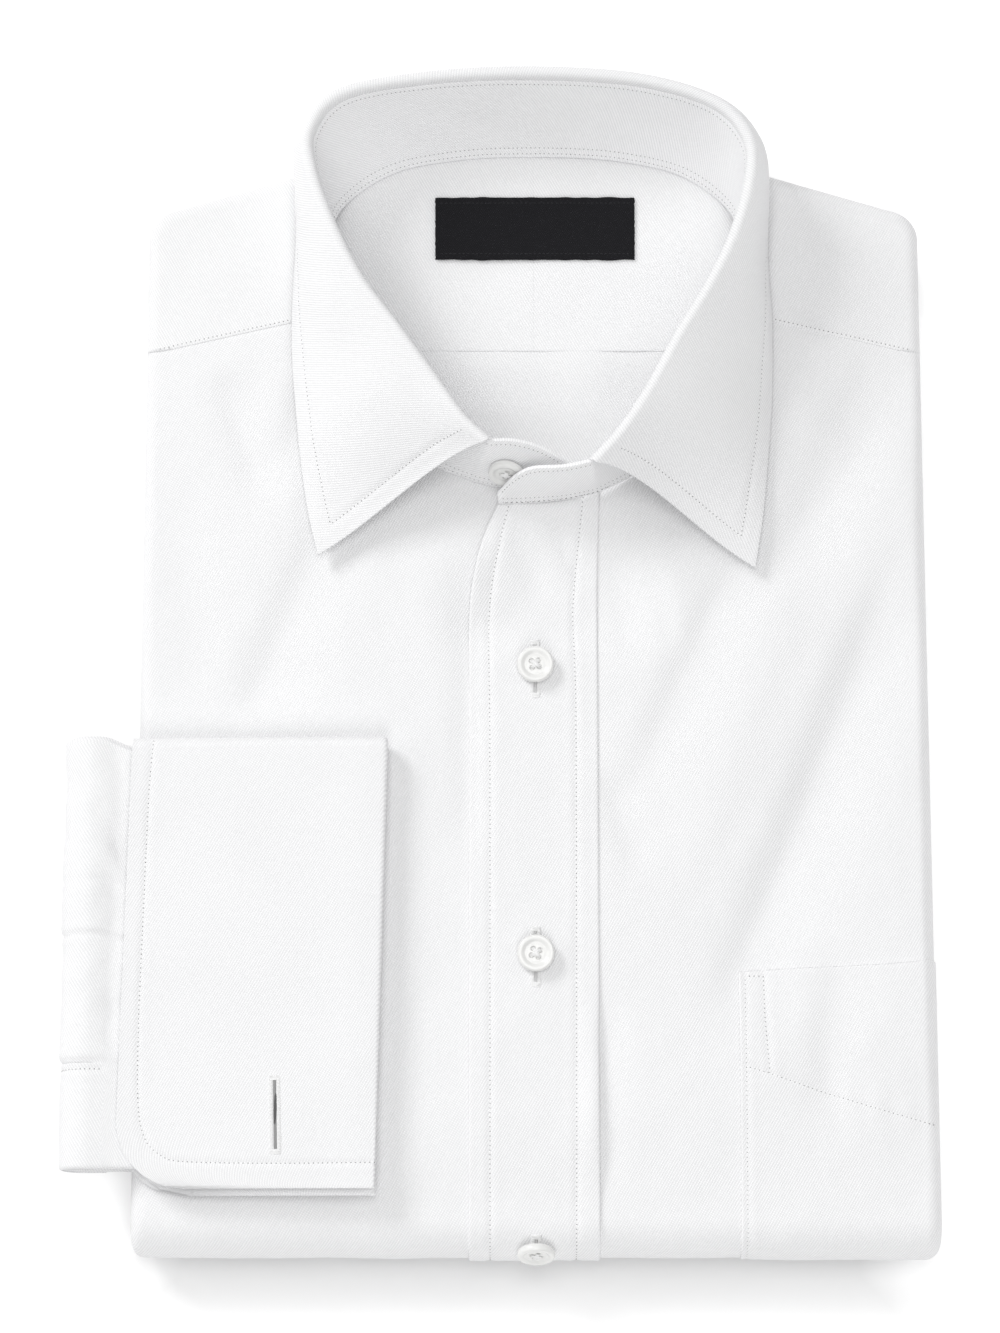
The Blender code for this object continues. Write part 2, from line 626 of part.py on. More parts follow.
def collar_directions(foot, roll, edge):
    """At each station of the collar: the way up the stand and the level way out to the leaf's edge."""
    up = roll - foot
    up /= np.linalg.norm(up, axis=1, keepdims=True)
    out = edge - roll
    out[:, 2] = 0.0
    out /= np.linalg.norm(out, axis=1, keepdims=True)
    return up, out


def collar_stations(count):
    """Foot, roll and edge of the collar, read from the smooth curves through the table."""
    table = smooth_rows(COLLAR, count)
    return table[:, 0:3], table[:, 3:6], table[:, 6:9]


def stand_top(foot, roll, edge):
    """Top edge of the stand, under the roll of the leaf."""
    up, out = collar_directions(foot, roll, edge)
    return roll - up * (ROLL_RADIUS + ROLL_RISE + GAP + LEAF_WALL / 2) - out * ROLL_RADIUS * 0.6


def collar_stand(place):
    """The band round the neck, standing on the neckline, with its two ends crossed in front."""
    foot, roll, edge = collar_stations(COLLAR_STATIONS)
    top = stand_top(foot, roll, edge)
    right = smooth_rows(np.vstack((np.hstack((foot[0], top[0])), RIGHT_TAB)), 8)[1:][::-1]
    left = smooth_rows(np.vstack((np.hstack((foot[-1], top[-1])), LEFT_TAB)), 8)[1:]
    feet = np.vstack((right[:, :3], foot, left[:, :3]))
    tops = np.vstack((right[:, 3:], top, left[:, 3:]))
    steps = np.linspace(0.0, 1.0, 5)[:, None, None]
    grid = feet + (tops - feet) * steps
    return cloth_object("collar_stand", grid, STAND_WALL, place, side=0.0)


def collar_leaf(place):
    """The leaf: up from the stand's top edge, over in a roll, and down outside to its edge."""
    foot, roll, edge = collar_stations(COLLAR_STATIONS)
    up, out = collar_directions(foot, roll, edge)
    level = np.array((0.0, 0.0, 1.0))
    base = stand_top(foot, roll, edge) + up * (GAP + 0.2)
    centre = base + up * ROLL_RISE + out * ROLL_RADIUS
    fall = edge - roll
    fall_slope = np.arctan2(-fall[:, 2], np.linalg.norm(fall[:, :2], axis=1))
    rows = [base]
    turns = 4
    for step in range(1, turns + 1):
        angle = math.pi - (math.pi / 2 + fall_slope[:, None]) * step / turns
        rows.append(centre + out * ROLL_RADIUS * np.cos(angle) + level * ROLL_RADIUS * np.sin(angle))
    start = rows[-1]
    bow = level * np.cos(fall_slope)[:, None] + out * np.sin(fall_slope)[:, None]
    share = np.linspace(0.0, 1.0, COLLAR_STATIONS)
    right_end = 1.0 - ease(share / FRONT_BOW_REACH)
    left_end = 1.0 - ease((1.0 - share) / FRONT_BOW_REACH)
    front_bow = np.zeros_like(edge)
    front_bow[:, 1] = FRONT_BOWS[0] * right_end + FRONT_BOWS[1] * left_end
    falls = 6
    for step in range(1, falls + 1):
        t = step / falls
        bowed = bow * LEAF_BULGE * 2 * t * (1 - t) + front_bow * 6.75 * t * (1 - t) ** 2
        rows.append(start + (edge - start) * t + bowed)
    return cloth_object("collar_leaf", np.array(rows), LEAF_WALL, place, side=0.0)


# ---------------------------------------------------------------- sleeve and cuff

def sleeve_middle(count):
    """Mid-line of the sleeve, seen from below the collar: out of the notch, up and over to the cuff."""
    low_z = TURN_CENTRE_Z
    high_z = float(top_z(SLEEVE_END_X, -90.0)) + CUFF_LIFT
    radius = (high_z - low_z) / 2
    centre_x = SLEEVE_OUT_X + radius + SLEEVE_HALF_THICK - 2.0
    turn = np.linspace(-math.pi / 2, -3 * math.pi / 2, count - 5)
    bend = np.stack((centre_x + radius * np.cos(turn), low_z + radius + radius * np.sin(turn)), axis=1)
    start = np.array(((SLEEVE_IN_X - 7.0, low_z), (centre_x + 5.0, low_z)))
    end = np.array(((centre_x + 5.0, high_z), (CUFF_EDGE_X - 1.0, high_z), (SLEEVE_END_X, high_z)))
    return np.vstack((start, bend, end))


def path_normals(path):
    """Unit normals on the outer side of a path that turns from +X over -X and back."""
    step = np.gradient(path, axis=0)
    step /= np.linalg.norm(step, axis=1, keepdims=True)
    return np.stack((-step[:, 1], step[:, 0]), axis=1)


def sleeve_right(place):
    """The sleeve above the cuff: a flattened tube, open at both ends, leaning with the cuff it enters."""
    path = sleeve_middle(13)
    normal = path_normals(path)
    half_wall = SLEEVE_HALF_THICK - WALL / 2
    ends = np.linspace(0.0, math.pi, 5)
    length = np.concatenate((np.linspace(SLEEVE_TOP_Y - SLEEVE_HALF_THICK, SLEEVE_PLACKET_Y + 3.0, 5),
                             np.linspace(SLEEVE_PLACKET_Y + 1.0, SLEEVE_BOTTOM_Y + SLEEVE_HALF_THICK, 3)))
    up_side = [(y, half_wall - SLEEVE_PLACKET_SINK * (y < SLEEVE_PLACKET_Y + 2.0)) for y in length]
    bottom = [(length[-1] - half_wall * math.sin(a), half_wall * math.cos(a)) for a in ends[1:-1]]
    down_side = [(y, -half_wall) for y in length[::-1]]
    top = [(length[0] + half_wall * math.sin(a), -half_wall * math.cos(a)) for a in ends[1:-1]]
    ring = np.array(up_side + bottom + down_side + top)
    ring_y, ring_height = ring.T
    share = (ring_y - SLEEVE_BOTTOM_Y) / (SLEEVE_TOP_Y - SLEEVE_BOTTOM_Y)
    entering = ease((np.arange(len(path)) - len(path) + 4.0) / 2.0)
    points = []
    for (x, z), (nx, nz), near_cuff in zip(path, normal, entering):
        lean = CUFF_LEAN * near_cuff * (ring_y - CUFF_TOP_Y)
        y = ring_y - SLEEVE_TAPER * near_cuff * share
        points.append(np.column_stack((x + nx * ring_height + lean, y, z + nz * ring_height)))
    points = np.vstack(points)
    count = len(ring)
    faces = [
        (row * count + i, (row + 1) * count + i,
         (row + 1) * count + (i + 1) % count, row * count + (i + 1) % count)
        for row in range(len(path) - 1)
        for i in range(count)
    ]
    made = mesh_object("sleeve_right", points, faces, place)
    shell = made.modifiers.new("wall", "SOLIDIFY")
    shell.thickness = WALL * MM
    shell.offset = 0.0
    shell.use_even_offset = True
    return made


def sleeve_placket(place):
    """The band beside the sleeve's opening, laid on its outer face."""
    path = sleeve_middle(13)[2:-1]
    normal = path_normals(sleeve_middle(13))[2:-1]
    lift = SLEEVE_HALF_THICK - SLEEVE_PLACKET_SINK + GAP + WALL / 2
    outer = path + normal * lift
    y = np.linspace(SLEEVE_PLACKET_Y, SLEEVE_BOTTOM_Y + SLEEVE_HALF_THICK, 3)
    grid = np.stack([np.column_stack((outer[:, 0], np.full(len(outer), value), outer[:, 1])) for value in y])
    return cloth_object("sleeve_placket", grid, WALL, place, side=0.0)


def french_cuff(place):
    """The cuff: folded double along the arm, and its outer half turned back over the inner half.

    Round the arm it goes from its lower end, over the fold at the top, to its upper end.  Along the
    arm it goes from the sleeve seam, round the turn, back to the free edge with its rounded corners.
    """
    fold = np.linspace(math.pi, 0.0, 5)[1:-1]
    run = np.linspace(0.0, 1.0, 8)
    ends = np.array((0.0, 0.02, 0.05, 0.10, 0.16))
    top_y = CUFF_TOP_Y - CUFF_OUTER
    share = np.concatenate((ends, run[2:]))
    low_y = CUFF_UNDER_Y + (top_y - CUFF_UNDER_Y) * share
    high_y = (CUFF_BOTTOM_Y + (top_y - CUFF_BOTTOM_Y) * share)[::-1]
    y = np.concatenate((low_y, np.full(len(fold), top_y), high_y))
    facing = np.concatenate((np.full(len(low_y), math.pi), fold, np.zeros(len(high_y))))

    inner_x = np.linspace(CUFF_SEAM_X, CUFF_TURN_X - 2.0, 5)
    turn = np.linspace(-math.pi / 2, math.pi / 2, 5)[1:-1]
    middle = (CUFF_INNER + CUFF_OUTER) / 2
    radius = (CUFF_OUTER - CUFF_INNER) / 2
    outer_share = np.concatenate((np.linspace(0.0, 1.0, 5)[:-1], (0.85, 0.93, 0.97, 1.0)))
    outer_share = np.unique(np.round(outer_share, 4))
    outer_x = (CUFF_TURN_X - 2.0) + (CUFF_EDGE_X - CUFF_TURN_X + 2.0) * outer_share
    x = np.concatenate((inner_x, CUFF_TURN_X - 2.0 + radius * np.cos(turn), outer_x))
    reach = np.concatenate((np.full(len(inner_x), CUFF_INNER), middle + radius * np.sin(turn),
                            np.full(len(outer_x), CUFF_OUTER)))
    free = np.concatenate((np.zeros(8), outer_share))
    hidden = np.concatenate((np.linspace(1.0, 0.0, 5), np.zeros(3 + len(outer_share))))

    x, y = np.meshgrid(x, y)
    reach, facing = np.meshgrid(reach, facing)
    free, hidden = np.broadcast_to(free, x.shape), np.broadcast_to(hidden, x.shape)
    # the free edge is rounded off towards both ends of the cuff, and so is the inner half's seam end
    end_distance = np.where(facing > math.pi / 2, y - CUFF_UNDER_Y, y - CUFF_BOTTOM_Y)
    near = np.clip(1.0 - end_distance / CUFF_CORNER, 0.0, 1.0)
    cut = CUFF_CORNER * (1.0 - np.sqrt(1.0 - near ** 2))
    hidden_cut = np.maximum(cut - (CUFF_SEAM_X - CUFF_EDGE_X) + 2.0, 0.0)
    x = x + cut * free ** 2 + hidden_cut * hidden ** 2 + CUFF_LEAN * (y - CUFF_TOP_Y)
    z = top_z(x, np.full_like(x, -90.0)) + CUFF_LIFT + reach * np.cos(facing)
    y = y + reach * np.sin(facing)
    grid = np.stack((x, y, z), axis=-1)
    return cloth_object("french_cuff", grid, CUFF_WALL, place, side=0.0)


# ---------------------------------------------------------------- buttons and label

def button_object(name, matrix, place, cutters):
    """A round button with a raised rim, a dished middle and four holes, its back on the given frame."""
    profile = (
        # radius, height
        (BUTTON_RADIUS - BUTTON_RIM * 1.6, BUTTON_THICK - BUTTON_DISH),
        (BUTTON_RADIUS - BUTTON_RIM, BUTTON_THICK),
        (BUTTON_RADIUS - BUTTON_RIM * 0.3, BUTTON_THICK * 0.92),
        (BUTTON_RADIUS, BUTTON_THICK * 0.6),
        (BUTTON_RADIUS - BUTTON_RIM * 0.5, BUTTON_THICK * 0.15),
        (BUTTON_RADIUS - BUTTON_RIM * 1.4, 0.0),
    )
    points = [(0.0, 0.0, BUTTON_THICK - BUTTON_DISH)]
    points += [(radius, 0.0, z) for radius, z in profile]
    points.append((0.0, 0.0, 0.0))
    mesh = bpy.data.meshes.new(name)
    mesh.from_pydata([tuple(value * MM for value in point) for point in points],
                     [(i, i + 1) for i in range(len(points) - 1)], [])
    made = bpy.data.objects.new(name, mesh)
    mesh.materials.append(material(name, SHELL, 0.25))
    place.objects.link(made)
    made.matrix_world = matrix
    turn = made.modifiers.new("turn", "SCREW")
    turn.angle = 2 * math.pi
    turn.steps = 16
    turn.render_steps = 16
    turn.use_merge_vertices = True
    turn.merge_threshold = 0.00001
    for index in range(4):
        angle = math.radians(45.0 + 90.0 * index)
        bpy.ops.mesh.primitive_cylinder_add(vertices=6, radius=BUTTON_HOLE_RADIUS * MM, depth=8.0 * MM)
        hole = bpy.context.object
        hole.name = f"{name}_hole_{index + 1}"
        for owner in list(hole.users_collection):
            owner.objects.unlink(hole)
        cutters.objects.link(hole)
        offset = Vector((math.cos(angle), math.sin(angle), 0.0)) * BUTTON_HOLE_PLACE * MM
        hole.matrix_world = matrix @ Matrix.Translation(offset)
        hole.hide_render = True
        hole.display_type = "WIRE"
        cut = made.modifiers.new("hole", "BOOLEAN")
        cut.operation = "DIFFERENCE"
        cut.solver = "EXACT"
        cut.object = hole
    return made


def frame_matrix(origin, normal):
    """A frame with its Z axis along a normal, its origin in millimetres."""
    turn = Vector((0.0, 0.0, 1.0)).rotation_difference(Vector(normal))
    return Matrix.Translation(Vector(origin) * MM) @ turn.to_matrix().to_4x4()


def buttons(place, cutters):
    """The buttons down the placket, the one on the turn, and the one on the right end of the stand."""
    for number, y in enumerate(BUTTON_YS, start=1):
        z = float(top_z(MIDDLE_X, y)) + PATCH_LIFT + GAP
        spot = (MIDDLE_X + BUTTON_ASIDE, y, z)
        button_object(f"button_{number}", frame_matrix(spot, (0.0, 0.0, 1.0)), place, cutters)
    along = path_distance(TURN_Y) + TURN_BUTTON_ANGLE * TURN_RADIUS
    lift = HALF_ARM + PATCH_LIFT + GAP
    spot = strip_points(np.array(BUTTON_ASIDE), np.array(lift), np.array(along))
    normal = (0.0, -math.sin(TURN_BUTTON_ANGLE), math.cos(TURN_BUTTON_ANGLE))
    button_object("button_3", frame_matrix(spot, normal), place, cutters)

    foot = np.array(RIGHT_TAB[0][:3])
    top = np.array(RIGHT_TAB[0][3:])
    along_tab = np.array(RIGHT_TAB[1][:3]) - np.array(COLLAR[0][:3])
    normal = np.cross(along_tab, top - foot)
    normal /= np.linalg.norm(normal)
    spot = foot + (top - foot) * COLLAR_BUTTON_SHARE + normal * (STAND_WALL / 2 + SHANK)
    button_object("button_collar", frame_matrix(spot, normal), place, cutters)


def neck_label(place):
    """The plain woven label on the inner yoke."""
    bpy.ops.mesh.primitive_cube_add(size=1.0)
    made = bpy.context.object
    made.name = "neck_label"
    for owner in list(made.users_collection):
        owner.objects.unlink(made)
    place.objects.link(made)
    size = Vector(LABEL_SIZE) * MM
    made.data.transform(Matrix.Diagonal(size.to_4d()))
    made.data.materials.append(material("neck_label", BLACK, 0.8))
    z = INNER_YOKE_Z + WALL / 2 + GAP + LABEL_SIZE[2] / 2
    made.location = Vector((LABEL_CENTRE[0], LABEL_CENTRE[1], z)) * MM
    edge = made.modifiers.new("edge", "BEVEL")
    edge.width = 0.2 * MM
    edge.segments = 1
    return made


def main():
    for old in list(bpy.data.objects):
        bpy.data.objects.remove(old)
    shirt = collection("folded_dress_shirt")
    cutters = collection("cutters")
    folded_layers(shirt, cutters)
    front_panel("front_right", -1.0, shirt)
    front_panel("front_left", 1.0, shirt)
    front_placket(shirt)
    yoke_panel("yoke_right", -1.0, shirt)
    yoke_panel("yoke_left", 1.0, shirt)
    inner_panels(shirt)
    collar_stand(shirt)
    collar_leaf(shirt)
    chest_pocket(shirt)
    sleeve_right(shirt)
    sleeve_placket(shirt)
    french_cuff(shirt)
    buttons(shirt, cutters)
    neck_label(shirt)


main()
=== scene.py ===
"""The looks of a folded long sleeve dress shirt: cloth, sewing, buttons, floor and light.

Every piece of cloth is a grid of points worked out from the same sizes as the solids it stands for.
Sizes in the code are millimetres, and the mesh makers turn them into metres.  Left and right in names
are the wearer's; the wearer's right is at -X, the collar at +Y, and the shirt lies on z = 0.
"""

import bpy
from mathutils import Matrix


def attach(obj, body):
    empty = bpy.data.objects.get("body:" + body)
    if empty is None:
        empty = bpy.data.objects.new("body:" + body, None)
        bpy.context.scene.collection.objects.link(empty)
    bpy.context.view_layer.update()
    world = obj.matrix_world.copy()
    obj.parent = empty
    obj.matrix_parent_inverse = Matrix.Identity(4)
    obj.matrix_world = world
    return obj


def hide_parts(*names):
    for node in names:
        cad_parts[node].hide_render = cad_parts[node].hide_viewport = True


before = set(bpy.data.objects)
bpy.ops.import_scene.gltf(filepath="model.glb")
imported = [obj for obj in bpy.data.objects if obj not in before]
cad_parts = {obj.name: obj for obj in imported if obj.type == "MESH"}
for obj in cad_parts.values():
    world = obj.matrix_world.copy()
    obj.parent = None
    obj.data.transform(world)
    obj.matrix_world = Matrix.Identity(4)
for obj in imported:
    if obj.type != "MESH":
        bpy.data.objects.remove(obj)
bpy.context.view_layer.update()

import math

import bpy
import numpy as np
from mathutils import Vector

bl_info = {
    "name": "Folded Dress Shirt",
    "version": (1, 0, 0),
    "blender": (4, 5, 0),
    "location": "View3D > Sidebar > Shirt",
    "description": "Makes a folded long sleeve dress shirt around its packed frame",
    "category": "Object",
}

MM = 0.001
UV_SCALE = 0.01                # of the cloth's own map: one unit is 100 mm of cloth
BODY = "root"
CLOTH_SLOT, SHELL_SLOT, LABEL_SLOT = "white_cloth", "button_shell", "label_cloth"

# Folded body, as in the solids
MIDDLE_X = 10.7
HALF_WIDTH = 122.2
STACK_HEIGHT = 22.0
HALF_ARM = 4.3
TURN_Y = -172.0
TURN_RADIUS = STACK_HEIGHT / 2
TURN_MID_RADIUS = TURN_RADIUS - HALF_ARM
TURN_CENTRE_Z = STACK_HEIGHT / 2
LIP = 11.5
YOKE_LIP = 7.0
CROWN, CROWN_RISE = 3.0, 34.0  # fullness of the upper arm, and how far from the turn it takes to rise
CROWN_EASE, CROWN_EASE_Y, CROWN_EASE_LENGTH = 0.45, 116.0, 46.0     # it eases off towards the shoulders
HEM_Y = 128.0
HEM_RISE = 10.0
PATH_START_Y = 120.0
SEAM_AT, SEAM_Y, SEAM_SLOPE = 76.0, 108.4, -0.218
SHOULDER_AT, SHOULDER_Y, SHOULDER_SLOPE = 75.0, 158.6, -0.295
SHOULDER_CORNER = 10.0
NECK_JOIN = 64.5
NECKLINE = (
    # distance from the middle, y on the right front, y on the left front
    (0.0, 54.6, 54.4),
    (10.0, 55.2, 54.4),
    (18.7, 57.8, 54.8),
    (30.0, 62.4, 59.4),
    (43.0, 73.5, 70.4),
    (55.0, 88.5, 86.2),
    (62.0, 103.0, 101.4),
    (NECK_JOIN, 111.0, 110.9),
)
NECK_SIDE = (
    (NECK_JOIN + 1.6, 111.2),
    (66.6, 124.0),
    (66.6, 136.0),
    (65.2, 146.0),
    (62.5, 153.0),
    (61.0, 163.0),
)
PLACKET = (
    # y, left edge, right edge as x
    (50.4, 0.4, 30.4),
    (38.0, -4.6, 30.0),
    (26.0, -7.4, 29.7),
    (13.0, -8.8, 29.6),
    (-20.0, -8.9, 29.6),
)
PLACKET_STITCHES = (
    # y, left row, right row as x
    (52.0, 3.8, 26.0),
    (41.6, 1.0, 24.9),
    (25.6, -2.2, 23.3),
    (12.8, -3.4, 22.6),
    (-4.9, -3.4, 23.2),
    (-31.3, -3.1, 23.4),
    (-172.0, -3.0, 23.1),
)
PLACKET_LIFT = 0.75            # its face above the fronts
PLACKET_TOP_Y, PLACKET_TOP_RISE = 49.8, 4.2     # its top edge, higher towards the right
# its right edge stands off the fronts by this much, at this y and this far to each side of it
PLACKET_GAPE, PLACKET_GAPE_Y, PLACKET_GAPE_REACH = 1.0, -137.0, 30.0
# and so does its left edge, below the collar
PLACKET_ROLL, PLACKET_ROLL_Y, PLACKET_ROLL_REACH = 1.9, 28.0, 19.0
# hollow of the lower fronts that takes the placket: angle round the turn where it starts, and over which
# it deepens; half its width, and the width of its sides; how much deeper it is than the placket is thick
FURROW_FROM, FURROW_OVER, FURROW_HALF, FURROW_SIDE, FURROW_ROOM = 1.5, 1.3, 23.0, 2.4, 0.2
POCKET_LIFT = 0.5
PLACKET_END_ROOM = 0.6         # the placket ends this far short of the hem
PLACKET_COLUMNS = 76
SEAM_TUCK = 1.6                # cloth of the fronts under the edge of a yoke
YOKE_LIFT = 0.12               # a yoke's face above the fronts'
YOKE_EDGE, YOKE_STITCHES = 0.3, 1.1     # its edge and its stitch row beyond the seam line
YOKE_ROWS, YOKE_COLUMNS = 34, 121
CLOTH_THICK = 0.45             # one ply of the body
UPPER_ROWS, TURN_ROWS = 190, 24     # grid rows of the fronts and placket on the upper arm and the turn

FOLD_ENDS = 0.3                # share of a fold's length over which each end fades
FOLD_EDGE = 3.5                # folds fade this near the rolled sides
# Folds of the fronts: start x y, end x y, half width before and behind the line, depth
FOLDS = (
    (131.0, 48.0, 63.0, -126.0, 19.0, 8.0, -3.0),
    (100.0, 46.0, 48.0, -92.0, 9.0, 12.0, 1.0),
    (80.0, 46.0, 38.0, -50.0, 10.0, 6.0, -1.5),
    (124.0, 108.0, 84.0, 18.0, 13.0, 8.0, -2.1),
    (-50.0, 50.0, -82.0, -32.0, 13.0, 8.0, -2.4),
    (-88.0, 96.0, -72.0, 48.0, 10.0, 6.0, -1.7),
    (-24.0, 13.0, 50.0, 9.0, 25.0, 9.0, -2.5),
    (3.0, 66.0, -9.0, 2.0, 12.0, 4.0, 1.6),
    (132.0, 80.0, 133.0, -160.0, 9.0, 32.0, 1.7),
)
CREASES = (
    (128.0, 30.0, 72.0, -104.0, 9.0, 5.0, -0.5),
    (-9.0, 32.0, -9.0, -72.0, 5.0, 6.0, -1.2),
    (-12.0, 44.0, -40.0, 30.0, 5.0, 9.0, -0.6),
    (34.0, 42.0, 42.0, -6.0, 7.0, 4.0, -0.8),
    (33.0, -34.0, 44.0, -70.0, 6.0, 4.0, -0.8),
    (31.0, -100.0, 32.0, -168.0, 6.0, 1.6, -1.2),
    (46.0, -56.0, 96.0, -124.0, 9.0, 12.0, -0.7),
    (104.0, -84.0, 98.0, -150.0, 10.0, 7.0, -1.6),
    (-24.0, -90.0, -30.0, -160.0, 8.0, 8.0, -0.6),
    (-100.0, 60.0, -92.0, -16.0, 7.0, 9.0, -0.6),
    (88.0, 84.0, 112.0, 64.0, 6.0, 8.0, 0.6),
    (60.0, -140.0, 20.0, -168.0, 8.0, 10.0, -0.5),
    (-58.0, 92.0, -70.0, 58.0, 6.0, 5.0, -0.8),
    (-1.0, 62.0, -6.0, 6.0, 5.0, 3.0, -0.7),
    (2.0, 50.0, 14.0, 14.0, 5.0, 4.0, -0.6),
    (14.0, 50.0, 27.0, 20.0, 4.0, 3.0, -0.6),
    (52.0, 34.0, 60.0, -4.0, 6.0, 4.0, 0.6),
    (112.0, 128.0, 96.0, 104.0, 9.0, 7.0, -1.0),
)

# Inside of the neck
BACK_PANEL_Z = 20.1
INNER_YOKE_Z = 21.4
PANEL_FACE = 0.5               # a panel's face above its level
BACK_YOKE_SEAM_Y = 100.0
BACK_PANEL_END_Y = 38.0
PAN_HALF_WIDTH = 72.0
BACK_NECK = (
    (0.0, 165.4),
    (20.0, 165.0),
    (38.0, 163.0),
    (51.0, 157.8),
    (61.6, 148.0),
    (70.0, 134.0),
)

# Collar: foot, crest of the roll and outer edge of the leaf, from the right front end round the back
COLLAR = (
    # foot x y z          roll x y z            edge x y z
    (-7.7, 56.7, 25.4, -3.5, 63.6, 51.0, -56.5, 32.2, 27.6),
    (-21.0, 62.2, 25.4, -11.0, 71.0, 51.5, -59.5, 46.0, 27.0),
    (-32.0, 72.4, 25.6, -20.5, 84.6, 52.0, -62.0, 64.0, 26.4),
    (-44.0, 87.6, 25.7, -31.5, 100.0, 52.5, -64.2, 86.0, 26.2),
    (-51.6, 105.0, 25.7, -43.0, 115.6, 52.5, -65.4, 107.0, 26.2),
    (-54.6, 124.0, 25.6, -52.2, 133.4, 52.5, -64.4, 128.0, 25.8),
    (-53.4, 140.0, 25.2, -58.6, 150.6, 52.5, -62.9, 149.0, 25.4),
    (-46.2, 151.0, 22.4, -59.6, 163.4, 52.5, -61.6, 164.5, 22.5),
    (-32.0, 159.4, 22.4, -49.6, 175.2, 52.2, -53.0, 179.2, 12.0),
    (-11.0, 163.4, 22.4, -21.0, 180.8, 52.0, -23.0, 184.6, 8.6),
    (11.0, 164.2, 22.4, 11.0, 182.2, 52.0, 11.0, 185.6, 8.0),
    (33.0, 163.4, 22.4, 43.0, 180.0, 52.0, 45.0, 184.4, 8.6),
    (54.0, 159.4, 22.4, 66.2, 173.0, 52.2, 71.0, 178.6, 12.0),
    (68.2, 151.0, 22.4, 76.4, 162.8, 52.5, 81.6, 164.5, 22.5),
    (75.4, 140.0, 25.2, 78.0, 150.6, 52.5, 83.4, 149.0, 25.4),
    (76.6, 124.0, 25.6, 72.8, 131.4, 52.5, 84.4, 128.0, 25.8),
    (73.6, 105.0, 25.7, 64.2, 113.6, 52.5, 85.2, 107.0, 26.2),
    (66.0, 86.6, 25.7, 54.6, 97.6, 52.5, 85.0, 85.0, 26.2),
    (54.0, 70.6, 25.6, 45.0, 79.4, 52.0, 83.3, 62.0, 26.4),
    (42.6, 59.4, 25.6, 36.6, 66.6, 51.5, 81.4, 43.0, 27.0),
    (29.5, 52.8, 26.6, 28.4, 56.8, 51.0, 79.2, 28.2, 27.6),
)
COLLAR_STATIONS = 301
ROLL_RADIUS = 1.6
ROLL_RISE = 0.6
LEAF_BULGE = 4.4
FRONT_BOWS = (3.4, 4.6)
FRONT_BOW_REACH = 0.12
LEAF_THICK = 1.0
LEAF_INSET = 6.0               # stitch row in from the leaf's front and outer edges
STAND_THICK = 1.2
STAND_ROWS = (1.4, 3.7)        # stitch rows above the neck seam inside
STAND_SEAMS = (
    # first column, last column (both from the end where below 0), height above the foot (depth below
    # the top where below 0), side (1 inside the neck, -1 outside), seed
    (4, -5, STAND_ROWS[0], 1.0, 41),
    (4, 75, STAND_ROWS[0], -1.0, 41),
    (-76, -5, STAND_ROWS[0], -1.0, 41),
    (4, -5, STAND_ROWS[1], 1.0, 42),
    (4, 75, STAND_ROWS[1], -1.0, 42),
    (-76, -5, STAND_ROWS[1], -1.0, 42),
    (4, 50, -1.8, 1.0, 45),
    (4, 50, -1.8, -1.0, 45),
    (-51, -5, -1.8, 1.0, 45),
    (-51, -5, -1.8, -1.0, 45),
    (60, -61, -1.6, 1.0, 46),
)
STAND_WHIP = (-56, -8, 1.0, -1.0)      # the same for the slanted stitches outside the left end
RIGHT_TAB = (
    # foot x y z, top x y z
    (1.0, 54.6, 25.6, 4.5, 63.6, 47.6),
    (10.0, 53.6, 25.8, 12.6, 62.0, 45.6),
    (18.0, 53.4, 26.6, 19.6, 59.0, 41.6),
    (22.6, 53.6, 29.0, 23.4, 56.4, 35.6),
)
LEFT_TAB = (
    (20.0, 50.6, 27.0, 19.6, 55.6, 47.4),
    (10.0, 49.5, 27.0, 9.6, 55.6, 44.8),
    (3.6, 49.2, 27.2, 3.6, 53.6, 40.0),
    (-0.6, 49.0, 28.0, -0.5, 51.2, 33.0),
)

# Chest pocket
POCKET_X = 73.4
POCKET_INSET = 1.2             # its left stitch row in from its edge
POCKET_TOP_SIDES = (POCKET_X - MIDDLE_X, 107.0, HALF_WIDTH)
POCKET_TOP_YS = (-97.6, -95.6, -94.2)
POCKET_TURN_END = math.radians(148.0)
POCKET_SIDE_END = math.radians(120.0)
POCKET_HEM = ((74.4, -126.2), (81.1, -128.2), (96.4, -133.5), (111.7, -138.2), (134.0, -144.6))

# Right sleeve and cuff
SLEEVE_TOP_Y, SLEEVE_BOTTOM_Y = -25.0, -157.0
SLEEVE_HALF_THICK = 1.9
SLEEVE_OUT_X, SLEEVE_IN_X, SLEEVE_END_X = -132.2, -101.5, -105.5
SLEEVE_PLACKET_Y = -126.0
SLEEVE_PLACKET_INSET = 1.3     # its stitch row below its top edge
SLEEVE_PLACKET_SINK = 1.2
SLEEVE_TAPER = 3.2
SLEEVE_WALL = 0.7
SLEEVE_DENTS = (
    # y, half width, depth
    (-52.0, 8.0, -0.5),
    (-69.6, 0.9, -0.4),
    (-86.2, 0.9, -0.75),
    (-84.4, 1.4, 0.3),
    (-108.0, 9.0, -0.5),
)
SLEEVE_CREASES = (
    # start x y, end x y, half width, depth
    (-131.0, -38.0, -114.0, -60.0, 4.5, -0.7),
    (-130.0, -58.0, -116.0, -74.0, 3.5, -0.35),
    (-118.0, -28.0, -115.0, -58.0, 3.5, -0.6),
    (-131.0, -92.0, -115.0, -106.0, 5.0, -0.45),
    (-118.0, -70.0, -117.5, -122.0, 3.5, -0.45),
)
SLEEVE_TURN_STEPS = 40
SLEEVE_HIGH_Z = TURN_CENTRE_Z + 6.0     # past this height it is on its way to the cuff
SLEEVE_DROP = 0.9              # the sleeve's upper face falls this much towards the cuff
